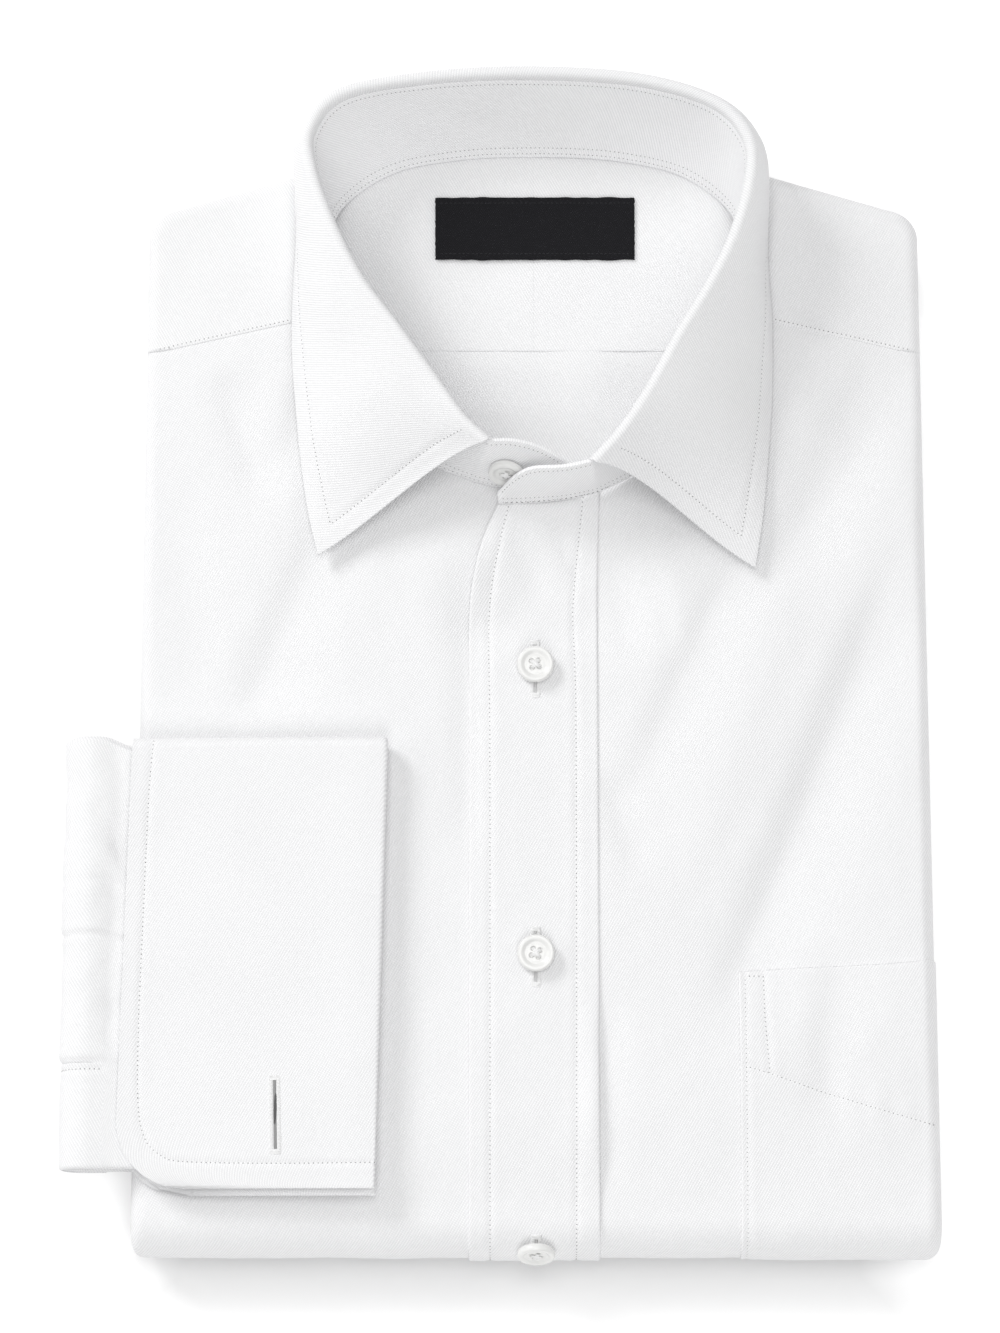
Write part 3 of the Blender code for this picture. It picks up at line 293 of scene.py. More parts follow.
CUFF_TOP_Y, CUFF_BOTTOM_Y, CUFF_UNDER_Y = -26.2, -163.4, -165.3
CUFF_EDGE_X, CUFF_TURN_X, CUFF_SEAM_X = -112.6, -33.8, -104.8
CUFF_LEAN = 0.024
CUFF_CORNER = 21.0
CUFF_INNER, CUFF_OUTER = 1.3, 3.3
CUFF_MIDDLE, CUFF_HALF = (CUFF_INNER + CUFF_OUTER) / 2, (CUFF_OUTER - CUFF_INNER) / 2
CUFF_LIFT, CUFF_LEVEL_Y = 4.6, -90.0     # its middle above the fronts, as they stand at this y
CUFF_THICK = 1.0
CUFF_HOLE = (-67.5, -130.3, -152.6)      # x, upper and lower end
CUFF_STITCHES = (
    (-106.1, -26.2),
    (-107.4, -45.9),
    (-108.6, -89.8),
    (-109.2, -114.1),
    (-108.9, -137.8),
    (-106.6, -148.6),
    (-101.4, -153.7),
    (-94.8, -155.4),
    (-70.9, -156.0),
    (-37.6, -155.8),
)

# Buttons
BUTTON_RADIUS = 5.7
BUTTON_THICK = 2.4
BUTTON_ROUND, BUTTON_DISH = 0.6, 0.55    # its rounded rim, and its face below the rim
BUTTON_HOLES_AT = 1.55                   # its four holes from its middle
BUTTON_TURNS = (0.10, -0.25, 0.35)       # how far each on the placket is turned
BUTTON_YS = (-2.5, -92.2)
BUTTON_ASIDE = 0.2
TURN_BUTTON_ANGLE = math.radians(46.0)
TURN_BUTTON_TILT = math.radians(22.0)    # it hangs on its thread this much further round
COLLAR_BUTTON_SHARE = 0.44
BUTTON_BACK = 1.9              # the back of a button above the fronts
COLLAR_SHANK = 1.0
STAND_WALL = 1.6
BUTTONHOLE_LENGTH = 16.6
BUTTONHOLE_DROPS = (0.9, 0.9, 5.0)       # the middle of each lies this far past its button
HIDDEN_BUTTONHOLE_YS = (-140.0, -50.0, 40.0)
BUTTONHOLE_WIDTH = 3.5
WHIP_PITCH = 0.42              # between the short stitches along a buttonhole

LABEL_SIZE = (62.5, 20.6, 0.7)
LABEL_LIFT = 0.3
LABEL_CENTRE = (11.1, 140.0)

# Slabs of the hidden layers, and how far each reaches
LAYERS = (
    # lower z, upper z, half width, start y, end y
    (16.2, 18.7, 115.5, -176.0, 147.0),
    (14.1, 15.9, 116.0, -173.0, 143.0),
    (11.2, 13.1, 104.0, -170.0, 136.0),
    (8.9, 10.9, 105.0, -171.0, 133.0),
    (5.6, 8.0, 115.5, -172.0, 117.0),
    (2.6, 5.3, 115.0, -170.0, 116.0),
)
LAYER_ROWS, LAYER_COLUMNS = 60, 52
LAYER_TOP_Z = 18.9             # nothing hidden stands higher
LAYERS_FLAT_WIDTH = 0.232      # in metres

# Soft waves in the cloth: height, seed and usual length of each kind
FRONT_WAVES = ((0.20, 11, 46.0), (0.07, 12, 17.0))
SLEEVE_WAVES = ((0.36, 61, 34.0), (0.12, 62, 13.0))
CUFF_WAVES = ((0.30, 71, 60.0), (0.10, 72, 20.0))

# Painted light on the floor: its glow rises past each of these and hides the shirt's shadows but for the
# strip below its bottom edge. Axis, way along it, start and width in metres, share
FLOOR_PAINTED_LIGHT = (
    (0, 1.0, 0.11, 0.034, 1.0),
    (0, -1.0, 0.098, 0.016, 0.4),
    (1, 1.0, 0.135, 0.034, 1.0),
    (1, -1.0, 0.188, 0.034, 1.0),
)
# Lamps: name, place as x y z in metres, size in metres, power in watts
LIGHTS = (
    ("overhead", 0.0, 0.1, 1.6, 0.7, 5.1),
    ("upper_left", -1.64, 1.55, 1.48, 0.9, 28.5),
    ("left", -2.0, 0.25, 1.0, 0.8, 3.4),
    ("front", 0.0, -0.9, 1.1, 0.7, 4.6),
    ("right", 1.1, 0.2, 0.8, 0.5, 1.1),
)
FLOOR_HALF, FLOOR_ROWS = 3.0, 13         # half the floor's side in metres, and its grid
VIEW_CENTRE = Vector((0.0, -0.002, 0.022))     # in metres: the camera looks here
SENSOR_HEIGHT = 36.0
UP = (0.0, 0.0, 1.0)

# Painted glow: emission that lightens the button shell and the collar stand in place of light coming through
# them, and the floor where the shirt's shadows would fall
SHELL_PAINTED_GLOW, STAND_PAINTED_GLOW, FLOOR_PAINTED_GLOW = 0.11, 0.06, 0.42

# Finishes made as thread, and the colour that each takes; those of needle holes and buttonhole slits are
# painted shade
THREAD_COLOURS = {
    "white_thread": "thread",
    "needle_hole": "hole",
    "closed_slit": "closed_slit",
    "buttonhole_slit": "slit",
    "label_thread": "label_thread",
}

# ---------------------------------------------------------------- small helpers

def ease(value):
    """A step from 0 to 1 with soft ends: 3 t squared minus 2 t cubed."""
    value = np.clip(value, 0.0, 1.0)
    return value * value * (3.0 - 2.0 * value)


def bell(distance, half_width):
    """A bell that is 1 on the line and falls off with the square of the distance."""
    return np.exp(-(distance / half_width) ** 2)


def smooth_rows(rows, count):
    """A smooth curve through the rows of a table, read at evenly spaced places: Catmull-Rom."""
    rows = np.asarray(rows, dtype=float)
    padded = np.vstack((2 * rows[0] - rows[1], rows, 2 * rows[-1] - rows[-2]))
    place = np.linspace(0.0, len(rows) - 1.0, count)
    first = np.minimum(place.astype(int), len(rows) - 2)
    t = (place - first)[:, None]
    a, b, c, d = (padded[first + step] for step in range(4))
    square = (2 * a - 5 * b + 4 * c - d) * t ** 2
    cube = (3 * b - a - 3 * c + d) * t ** 3
    return 0.5 * (2 * b + (c - a) * t + square + cube)


def lengths(points):
    """Distance travelled along a line of points, from 0."""
    steps = np.linalg.norm(np.diff(points, axis=0), axis=-1)
    return np.concatenate((np.zeros((1,) + steps.shape[1:]), np.cumsum(steps, axis=0)))


def read_line(line, travelled, where):
    """Points of a line at distances along it, by straight interpolation."""
    return np.stack([np.interp(where, travelled, part) for part in line.T], axis=1)


def resample(line, spacing):
    """Evenly spaced points on a line of points."""
    travelled = lengths(line)
    count = max(int(round(travelled[-1] / spacing)), 2)
    return read_line(line, travelled, np.linspace(0.0, travelled[-1], count + 1))


def spans(places, counts):
    """Values from the first place to the last, in so many even steps from each to the next."""
    parts = [np.linspace(first, second, count + 1)[:-1]
             for first, second, count in zip(places[:-1], places[1:], counts)]
    return np.concatenate((*parts, np.array(places[-1:], dtype=float)))


def unit(vectors):
    """The vectors, each divided by its length."""
    return vectors / np.maximum(np.linalg.norm(vectors, axis=-1, keepdims=True), 1e-9)


def as_points(*parts):
    """Points from their coordinates, which are spread to one shape."""
    return np.stack(np.broadcast_arrays(*parts), axis=-1)


def upright(spots):
    """The way straight up, once for each spot."""
    return np.broadcast_to(UP, spots.shape)


def line_distance(x, y, line):
    """Distance in the plan from places to a line of points, the least over its straight pieces."""
    least = np.full(np.shape(x), 1.0e9)
    for (x0, y0), (x1, y1) in zip(line[:-1], line[1:]):
        dx, dy = x1 - x0, y1 - y0
        t = np.clip(((x - x0) * dx + (y - y0) * dy) / (dx * dx + dy * dy), 0.0, 1.0)
        least = np.minimum(least, np.hypot(x - x0 - t * dx, y - y0 - t * dy))
    return least


def normals_of(points):
    """Outward directions of a grid whose rows run down and columns across: down crossed with across."""
    return unit(np.cross(np.gradient(points, axis=0), np.gradient(points, axis=1)))


def turned(points, flat, row, column, towards, axis=1):
    """The grid, with its columns reversed, or its rows for axis 0, if a place on it faces the wrong way."""
    if float(normals_of(points)[row, column] @ np.array(towards)) < 0.0:
        return np.flip(points, axis), np.flip(flat, axis)
    return points, flat


def read_grid(grid, rows, columns):
    """Points of a grid at broken row and column numbers, by straight interpolation."""
    rows = np.clip(rows, 0.0, grid.shape[0] - 1.001)
    columns = np.clip(columns, 0.0, grid.shape[1] - 1.001)
    r, c = rows.astype(int), columns.astype(int)
    s, t = (rows - r)[..., None], (columns - c)[..., None]
    upper = grid[r, c] * (1 - t) + grid[r, c + 1] * t
    lower = grid[r + 1, c] * (1 - t) + grid[r + 1, c + 1] * t
    return upper * (1 - s) + lower * s


def ripples(u, v, seed, scale, count=9):
    """Soft unevenness of cloth: a sum of waves of uneven direction and length, about -1 to 1."""
    draws = np.random.default_rng(seed)
    angle = draws.uniform(0.0, math.pi, count)
    wavelength = scale * draws.uniform(0.5, 1.6, count)
    phase = draws.uniform(0.0, 2 * math.pi, count)
    total = np.zeros(np.broadcast(u, v).shape)
    for a, w, p in zip(angle, wavelength, phase):
        total = total + np.sin((u * math.cos(a) + v * math.sin(a)) * 2 * math.pi / w + p)
    return total / math.sqrt(count * 2.0)


def waves(u, v, kinds):
    """Soft waves of several kinds: ripples of each one's seed and length, times its height, added up."""
    return sum(height * ripples(u, v, seed, scale) for height, seed, scale in kinds)


def puckers(along, distance, reach, seed):
    """Small gathers beside a seam: waves along it that fade with the distance from it."""
    wave = ripples(along, np.zeros_like(along), seed, 9.0, 5)
    return wave * np.exp(-np.abs(distance) / reach)


def stitch_dip(distance):
    """How a row of stitches pulls the cloth down: a narrow bell, and a faint swelling beside it."""
    return -0.24 * bell(distance, 0.8) + 0.07 * bell(np.abs(distance) - 2.2, 1.4)


# ---------------------------------------------------------------- meshes

def grid_quads(rows, columns, wrap=False):
    """Corner numbers of a grid's faces, each down, across and back up; wrap joins the last column on."""
    index = np.arange(rows * columns).reshape(rows, columns)
    if wrap:
        index = np.hstack((index, index[:, :1]))
    corners = (index[:-1, :-1], index[1:, :-1], index[1:, 1:], index[:-1, 1:])
    return np.stack(corners, axis=-1).reshape(-1, 4)


def new_mesh(name, points, faces, finish, flat=None, flat_faces=None):
    """An object riding on the body, from points in millimetres, faces and the cloth's own map."""
    mesh = bpy.data.meshes.new(name)
    mesh.from_pydata((np.asarray(points).reshape(-1, 3) * MM).tolist(), [], [tuple(face) for face in faces])
    if flat is not None:
        layer = mesh.uv_layers.new(name="cloth")
        corners = np.asarray(flat).reshape(-1, 2)[np.asarray(flat_faces).ravel()] * UV_SCALE
        layer.data.foreach_set("uv", corners.ravel())
    mesh.shade_smooth()
    mesh.update()
    mesh.materials.append(finish)
    made = bpy.data.objects.new(name, mesh)
    bpy.context.scene.collection.objects.link(made)
    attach(made, BODY)
    return made


def cloth_piece(name, points, flat, thickness, finish, offset=-1.0, wrap=False):
    """A shell of cloth for the solid of this name: its wall lies behind the grid, or about it where
    offset is 0."""
    faces = grid_quads(*points.shape[:2], wrap)
    made = new_mesh(name + "_cloth", points, faces, finish, flat, grid_quads(*flat.shape[:2]))
    wall = made.modifiers.new("wall", "SOLIDIFY")
    wall.thickness = thickness * MM
    wall.offset = offset
    wall.use_even_offset = False
    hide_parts(name)
    return made


def doubled_piece(name, points, flat, thickness, finish):
    """A doubled piece of cloth, whose wall lies about the grid with its square rim rounded."""
    made = cloth_piece(name, points, flat, thickness, finish, 0.0)
    rim = made.modifiers.new("rim", "BEVEL")
    rim.width = 0.32 * MM
    rim.segments = 2
    rim.limit_method = "ANGLE"
    rim.angle_limit = math.radians(60.0)
    return made


def side_last(grid, side):
    """The grid turned so that the named side is its last row."""
    grid = grid.swapaxes(0, 1) if side in ("left", "right") else grid
    return grid[::-1] if side in ("top", "left") else grid


def side_back(grid, side):
    """The grid turned back from having the named side as its last row."""
    grid = grid[::-1] if side in ("top", "left") else grid
    return grid.swapaxes(0, 1) if side in ("left", "right") else grid


def with_round_edges(points, flat, radius, sides):
    """The grid with a quarter round added along the named sides: first or last row or column."""
    angles = np.radians((30.0, 60.0, 90.0))[:, None, None]
    for side in sides:
        normal = side_last(normals_of(points), side)[-1]
        points, flat = side_last(points, side), side_last(flat, side)
        out, flat_out = unit(points[-1] - points[-2]), unit(flat[-1] - flat[-2])
        steps = points[-1] + out * radius * np.sin(angles) - normal * radius * (1 - np.cos(angles))
        points = side_back(np.concatenate((points, steps)), side)
        flat = side_back(np.concatenate((flat, flat[-1] + flat_out * radius * angles)), side)
    return points, flat


# One stitch, as rings of six points between two ends: place along it, radius share
STITCH_RINGS = ((-0.36, 0.72), (0.0, 1.0), (0.36, 0.72))
# A needle hole is one flat ring: a dark bead of painted shade between two stitches
HOLE_RINGS = ((0.0, 1.0),)
STITCH_SIDES = 6
HOLE_LENGTH, HOLE_WIDTH, HOLE_HEIGHT = 1.35, 1.25, 0.24     # the first two by the stitch's width


def stitch_shape(rings):
    """Points and faces of one stitch lying along X with its height in Z, one unit long and wide."""
    angle = np.arange(STITCH_SIDES) * 2 * math.pi / STITCH_SIDES
    points = np.vstack([as_points(x, r * np.cos(angle), r * np.sin(angle)) for x, r in rings]
                       + [((-0.5, 0.0, 0.0), (0.5, 0.0, 0.0))])
    end, last = len(rings) * STITCH_SIDES, (len(rings) - 1) * STITCH_SIDES
    pairs = [(i, (i + 1) % STITCH_SIDES) for i in range(STITCH_SIDES)]
    faces = [(s + i, s + j, s + STITCH_SIDES + j, s + STITCH_SIDES + i)
             for s in range(0, last, STITCH_SIDES) for i, j in pairs]
    faces += [(end, j, i) for i, j in pairs]
    faces += [(end + 1, last + i, last + j) for i, j in pairs]
    return points, faces


class Sewing:
    """Rows of stitches gathered into one mesh, and dark beads of painted shade for the needle holes between
    them in another.
    """

    def __init__(self, rings=STITCH_RINGS):
        self.points, self.faces, self.count = [], [], 0
        self.rings, self.holes = rings, None

    def row(self, line, normal, pitch, length, width, height, seed):
        """Adds stitches along a line of points: each is the one stitch turned to the line and the cloth."""
        travelled = lengths(line)
        count = max(int(travelled[-1] / pitch), 1)
        draws = np.random.default_rng(seed)
        where = (np.arange(count) + 0.5) * travelled[-1] / count + draws.normal(0.0, 0.03, count)
        way = read_line(line, travelled, where + 0.3) - read_line(line, travelled, where - 0.3)
        self.place(read_line(line, travelled, where), way, read_line(normal, travelled, where),
                   length, width, height, seed, 0.05)
        # between each two stitches, a dark bead of painted shade for the needle hole
        self.holes = self.holes or Sewing(HOLE_RINGS)
        between = where + pitch / 2
        self.holes.place(read_line(line, travelled, between), way, read_line(normal, travelled, between),
                         width * HOLE_LENGTH, width * HOLE_WIDTH, HOLE_HEIGHT, seed)

    def line(self, line, normal, seed):
        """Adds one row of the shirt's ordinary stitches."""
        sizes = bpy.context.scene.shirt_sizes
        width = sizes.stitch_width / MM
        self.row(line, normal, sizes.stitch_pitch / MM, sizes.stitch_length / MM, width, width * 0.75, seed)

    def place(self, spots, along, normal, length, width, height, seed=1, sink=0.0):
        """Adds a stitch at each spot, lying along the given directions and sunk into the cloth."""
        normal = unit(normal)
        along = unit(along - normal * np.sum(along * normal, axis=1, keepdims=True))
        beside = np.cross(normal, along)
        lean = np.random.default_rng(seed + 50).normal(0.0, 0.05, len(spots))[:, None]
        along, beside = (along * np.cos(lean) + beside * np.sin(lean),
                         beside * np.cos(lean) - along * np.sin(lean))
        shape, faces = stitch_shape(self.rings)
        offset = (along[:, None] * shape[:, :1] * length + beside[:, None] * shape[:, 1:2] * width / 2
                  + normal[:, None] * (shape[:, 2:] * height / 2 - sink))
        self.points.append((spots[:, None] + offset).reshape(-1, 3))
        for start in range(self.count, self.count + len(spots) * len(shape), len(shape)):
            self.faces += [tuple(corner + start for corner in face) for face in faces]
        self.count += len(spots) * len(shape)

    def made(self, name, finish="white_thread", slot=CLOTH_SLOT):
        """The gathered stitches as one object, and the painted shade of their needle holes as another."""
        made = [new_mesh(name, np.vstack(self.points), self.faces, thread_finish(finish))]
        if self.holes:
            made += self.holes.made(name + "_holes", "needle_hole", slot)
        return made


# ---------------------------------------------------------------- materials

class Value:
    """A number socket that takes + - * / with numbers and other sockets, adding Math nodes."""

    def __init__(self, nodes, socket):
        self.nodes, self.socket = nodes, socket

    def maths(self, operation, other=None, swapped=False):
        pair = (other, self) if swapped else (self, other)
        return self.nodes.node("ShaderNodeMath", {"operation": operation},
                               {i: v for i, v in enumerate(pair) if v is not None})

    def __add__(self, other):
        return self.maths("ADD", other)

    def __sub__(self, other):
        return self.maths("SUBTRACT", other)

    def __rsub__(self, other):
        return self.maths("SUBTRACT", other, True)

    def __mul__(self, other):
        return self.maths("MULTIPLY", other)

    def __truediv__(self, other):
        return self.maths("DIVIDE", other)

    def sine(self):
        return self.maths("SINE")

    def clamped(self):
        return self.nodes.node("ShaderNodeClamp", {}, {0: self})

    __radd__, __rmul__ = __add__, __mul__


class Finish:
    """A material and the means to add nodes to it."""

    def __init__(self, name):
        self.material = bpy.data.materials.new(name)
        self.material.use_nodes = True
        self.tree = self.material.node_tree
        self.shader = self.tree.nodes["Principled BSDF"]

    def node(self, kind, settings, inputs, output=0):
        """A node with its settings set first and its sockets filled with values or links."""
        made = self.tree.nodes.new(kind)
        for name, value in settings.items():
            setattr(made, name, value)
        for name, value in inputs.items():
            self.join(made.inputs[name], value)
        return Value(self, made.outputs[output])

    def join(self, socket, value):
        if isinstance(value, Value):
            self.tree.links.new(value.socket, socket)
        else:
            socket.default_value = value

    def set(self, **values):
        """Fills the shader's sockets; names have _ for a space."""
        for name, value in values.items():
            self.join(self.shader.inputs[name.replace("_", " ")], value)

    def mix(self, factor, first, second):
        """A colour between two colours."""
        return self.node("ShaderNodeMix", {"data_type": "RGBA"},
                         {0: factor, 6: (*first, 1.0), 7: (*second, 1.0)}, 2)

    def noise(self, vector, scale, detail, roughness):
        return self.node("ShaderNodeTexNoise", {},
                         {"Vector": vector, "Scale": scale, "Detail": detail, "Roughness": roughness})

    def place(self):
        """Object coordinates, in metres."""
        return self.node("ShaderNodeTexCoord", {}, {}, 3)

    def parts(self, vector):
        """The three numbers of a vector."""
        split = self.node("ShaderNodeSeparateXYZ", {}, {0: vector})
        return [Value(self, socket) for socket in split.socket.node.outputs]

    def cloth_map(self):
        """The cloth's own map, and its two coordinates in millimetres."""
        vector = self.node("ShaderNodeUVMap", {"uv_map": "cloth"}, {})
        across, down = self.parts(vector)[:2]
        return vector, across * (1.0 / UV_SCALE), down * (1.0 / UV_SCALE)

    def bump(self, height, strength, distance):
        return self.node("ShaderNodeBump", {}, {"Height": height, "Strength": strength, "Distance": distance})


def weave_height(across, down, pitch, lean):
    """A fine steep twill: ribs at sixty degrees, cut into short floats by a wave along the weft."""
    turn, sine, cosine = 2 * math.pi / pitch, 0.866, 0.5
    ribs = ((across * (sine * lean) + down * cosine) * turn).sine()
    floats = ((across * (-cosine * lean) + down * sine) * (turn * 1.2)).sine()
    return ribs * 0.6 + ribs * floats * 0.25 + floats * 0.2


def dimmed(colour, share):
    """A colour with every part of it brought down to a share."""
    return [part * share for part in colour]


def cotton(name, colours, lean, pitch, painted_glow):
    """White shirting: a fine twill in the bump, and in the colour painted shade between its ribs,
    slubs and a faint change of tone.

    The painted glow is an emission that lightens the cloth where it stands up, in place of light coming
    through it.
    """
    finish = Finish(name)
    vector, across, down = finish.cloth_map()
    height = weave_height(across, down, pitch, lean)
    slubs = finish.noise(vector, 60.0, 4.0, 0.6)
    clouds = finish.noise(vector, 3.0, 2.0, 0.5)
    # painted shade: the colour darkens between the twill's ribs with the bump's own height; slubs and clouds
    # add a random tone
    shade = (height * 0.45 + (slubs - 0.5) * 0.3 + (clouds - 0.5) * 0.15 + 0.5).clamped()
    base = finish.mix(shade, colours.cloth_shade, colours.cloth)
    # the painted glow adds light in the cloth's own colour
    finish.set(Base_Color=base, Roughness=slubs * 0.10 + 0.86, Sheen_Weight=0.06, Sheen_Roughness=0.5,
               Specular_IOR_Level=0.12, Emission_Color=base, Emission_Strength=painted_glow,
               Normal=finish.bump(height * 0.5 + slubs * 0.3, 0.75, 0.00014))
    return finish.material


def thread(name, colour):
    """Sewing thread: a smooth cotton with a fine twist in the bump."""
    finish = Finish(name)
    twist = finish.noise(finish.place(), 2600.0, 2.0, 0.6)
    finish.set(Base_Color=finish.mix(twist, dimmed(colour, 0.9), colour), Roughness=0.55,
               Specular_IOR_Level=0.35, Normal=finish.bump(twist, 0.4, 0.0001))
    return finish.material


def shell_finish(name, colour, shade):
    """Pearly button shell: cloudy bands of two tones under a clear gloss, and a painted glow that lightens it
    in place of light coming through it.
    """
    finish = Finish(name)
    place = finish.place()
    clouds = finish.noise(place, 260.0, 3.0, 0.55)
    bands = (finish.noise(place, 90.0, 1.0, 0.5) * 24.0 + clouds * 5.0).sine()
    tone = (bands * 0.22 + clouds * 0.7 + 0.1).clamped()
    # the shell's emission is a painted glow
    finish.set(Base_Color=finish.mix(tone, shade, colour), Roughness=clouds * 0.12 + 0.16,
               Specular_IOR_Level=0.6, Coat_Weight=0.4, Coat_Roughness=0.06, Emission_Strength=SHELL_PAINTED_GLOW,
               Normal=finish.bump(clouds, 0.08, 0.0002))
    return finish.material


def label_finish(name, colour, rib):
    """Woven black label: a dense twill with the sheen of its yarn."""
    finish = Finish(name)
    vector, across, down = finish.cloth_map()
    height = weave_height(across, down, 0.55, -1.0)
    fuzz = finish.noise(vector, 240.0, 3.0, 0.6)
    base = finish.mix((height * 0.4 + fuzz * 0.8).clamped(), colour, rib)
    finish.set(Base_Color=base, Roughness=fuzz * 0.2 + 0.7, Sheen_Weight=0.04, Sheen_Roughness=0.5,
               Specular_IOR_Level=0.12, Normal=finish.bump(height + fuzz * 0.5, 0.6, 0.00015))
    return finish.material


def floor_finish(name, colour):
    """Smooth matt paper with the faintest mottle, and a painted glow round the shirt that hides its shadows
    but for the strip below it.
    """
    finish = Finish(name)
    place = finish.place()
    mottle = finish.noise(place, 8.0, 2.0, 0.5)
    # painted light: the floor's emission rises where the shirt's shadows would fall right of, above and left
    # of it, and hides them
    lit, places = 0.0, finish.parts(place)
    for axis, way, start, width, share in FLOOR_PAINTED_LIGHT:
        beyond = ((places[axis] * way - start) / width).clamped() * share
        lit = beyond.maths("MAXIMUM", lit)
    finish.set(Base_Color=finish.mix(mottle, dimmed(colour, 0.995), colour), Roughness=mottle * 0.05 + 0.9,
               Specular_IOR_Level=0.1, Emission_Color=finish.mix(lit, (0.0, 0.0, 0.0), (1.0, 1.0, 1.0)),
               Emission_Strength=FLOOR_PAINTED_GLOW)
    return finish.material


def finish_named(name, make, *values):
    """The material of this name, made the first time it is asked for."""
    return bpy.data.materials.get(name) or make(name, *values)


def cotton_for(name, lean, painted_glow=0.0):
    """The shirting with its twill leaning one way or the other."""
    scene = bpy.context.scene
    return finish_named(name, cotton, scene.shirt_colours, lean, scene.shirt_sizes.weave_pitch / MM, painted_glow)


def thread_finish(name):
    """Sewing thread, or the shade in a needle hole or a buttonhole, by the name of its finish."""
    return finish_named(name, thread, getattr(bpy.context.scene.shirt_colours, THREAD_COLOURS[name]))


# ---------------------------------------------------------------- the folded strip

def seam_y(side):
    """Front yoke seam at a distance from the middle: a straight line."""
    return SEAM_Y + SEAM_SLOPE * (np.abs(side) - SEAM_AT)


def shoulder_y(side):
    """Shoulder line at a distance from the middle: a straight line."""
    return SHOULDER_Y + SHOULDER_SLOPE * (np.abs(side) - SHOULDER_AT)


def crown(side, y):
    """Fullness of the upper arm: 1 minus the cube across it, eased off at the turn and the shoulders."""
    across = 1.0 - np.clip(np.abs(side) / (HALF_WIDTH - HALF_ARM), 0.0, 1.0) ** 3
    along = ease((y - TURN_Y) / CROWN_RISE)
    along = along * (1.0 - CROWN_EASE * ease((y - CROWN_EASE_Y) / CROWN_EASE_LENGTH))
    return CROWN * across * along


def fold_height(side, y):
    """Folds and creases: for each line a bell across it, of its own width on each side, faded at its ends."""
    x = MIDDLE_X + side
    depth_scale = bpy.context.scene.shirt_sizes.fold_depth
    height = np.zeros(np.broadcast(side, y).shape)
    for x0, y0, x1, y1, before, behind, depth in FOLDS + CREASES:
        length = math.hypot(x1 - x0, y1 - y0)
        along = ((x - x0) * (x1 - x0) + (y - y0) * (y1 - y0)) / length
        across = ((x - x0) * (y1 - y0) - (y - y0) * (x1 - x0)) / length
        fade = FOLD_ENDS * length
        ends = ease(along / fade) * ease((length - along) / fade)
        width = np.where(across < 0.0, before, behind)
        height = height + depth * ends * bell(across, width)
    edge = ease((HALF_WIDTH - np.abs(side)) / FOLD_EDGE)
    under_cuff = ease((-27.0 - x) / 8.0) * ease((CUFF_TOP_Y + 14.0 - y) / 10.0)
    return height * edge * (1.0 - under_cuff) * depth_scale


def path_distance(y):
    """Distance along the strip of a place on the upper arm."""
    return PATH_START_Y - y


def turn_progress(along):
    """Angle gone round the turn: distance past its start over its radius."""
    return np.clip((along - path_distance(TURN_Y)) / TURN_RADIUS, 0.0, math.pi)


def under_distance(y):
    """Distance along the strip of a place on the lower arm."""
    return path_distance(TURN_Y) + math.pi * TURN_RADIUS + (y - TURN_Y)


def strip_points(side, height, along):
    """Points of the strip: straight arms joined by a half circle, height measured out from the mid-line."""
    side, height, along = np.broadcast_arrays(side, height, along)
    angle = turn_progress(along)
    before = np.minimum(along - path_distance(TURN_Y), 0.0)
    after = np.maximum(along - path_distance(TURN_Y) - math.pi * TURN_RADIUS, 0.0)
    radius = TURN_MID_RADIUS + height
    y = TURN_Y - before + after - radius * np.sin(angle)
    z = TURN_CENTRE_Z + radius * np.cos(angle)
    return as_points(MIDDLE_X + side, y, z)


def surface_height(side, along):
    """Face of the fronts above the mid-line: the half arm, the crown, the folds and soft ripples."""
    upper = 1.0 - ease((along - path_distance(TURN_Y)) / 12.0)
    y = PATH_START_Y - along
    furrow = ease((turn_progress(along) - FURROW_FROM) / FURROW_OVER)
    furrow = furrow * ease((FURROW_HALF - np.abs(side)) / FURROW_SIDE)
    full = (crown(side, y) + fold_height(side, y)) * upper
    upper_or_turn = 1.0 - ease((turn_progress(along) - 2.2) / 0.6)
    soft = waves(side, along, FRONT_WAVES) * ease((HALF_WIDTH - np.abs(side)) / 6.0) * upper_or_turn
    return HALF_ARM + full + soft - (PLACKET_LIFT + FURROW_ROOM) * furrow


def front_z(x, y):
    """Height above the table of the fronts' face at places seen from above."""
    side = np.asarray(x, dtype=float) - MIDDLE_X
    return TURN_CENTRE_Z + TURN_MID_RADIUS + surface_height(side, path_distance(np.asarray(y, dtype=float)))


def cuff_level(x):
    """Height of the cuff's middle over the fronts without folds and ripples, as the solids have them."""
    side = np.asarray(x, dtype=float) - MIDDLE_X
    return TURN_CENTRE_Z + TURN_MID_RADIUS + HALF_ARM + crown(side, CUFF_LEVEL_Y) + CUFF_LIFT


def wrap_columns(flat_sides, steps, lip_steps):
    """Columns across a panel: flat part, half round side, lip; with how high each stands and its place
    in the flat cloth."""
    angles = np.linspace(0.0, math.pi, steps + 1)[1:]
    centre = HALF_WIDTH - HALF_ARM
    lip = LIP * np.arange(1, lip_steps + 1) / lip_steps
    sides = np.concatenate((flat_sides, centre + HALF_ARM * np.sin(angles), centre - lip))
    shares = np.concatenate((np.ones(len(flat_sides)), np.cos(angles), -np.ones(lip_steps)))
    across = np.concatenate((flat_sides, centre + HALF_ARM * angles, centre + HALF_ARM * math.pi + lip))
    return sides, shares, across


def along_rows(start, end, upper, turn, lower):
    """Distances along the strip, row by row: so many on the upper arm, round the turn and below."""
    turn_start = np.full_like(start, path_distance(TURN_Y))
    return spans((start, turn_start, turn_start + math.pi * TURN_RADIUS, end), (upper, turn, lower))


# ---------------------------------------------------------------- body pieces

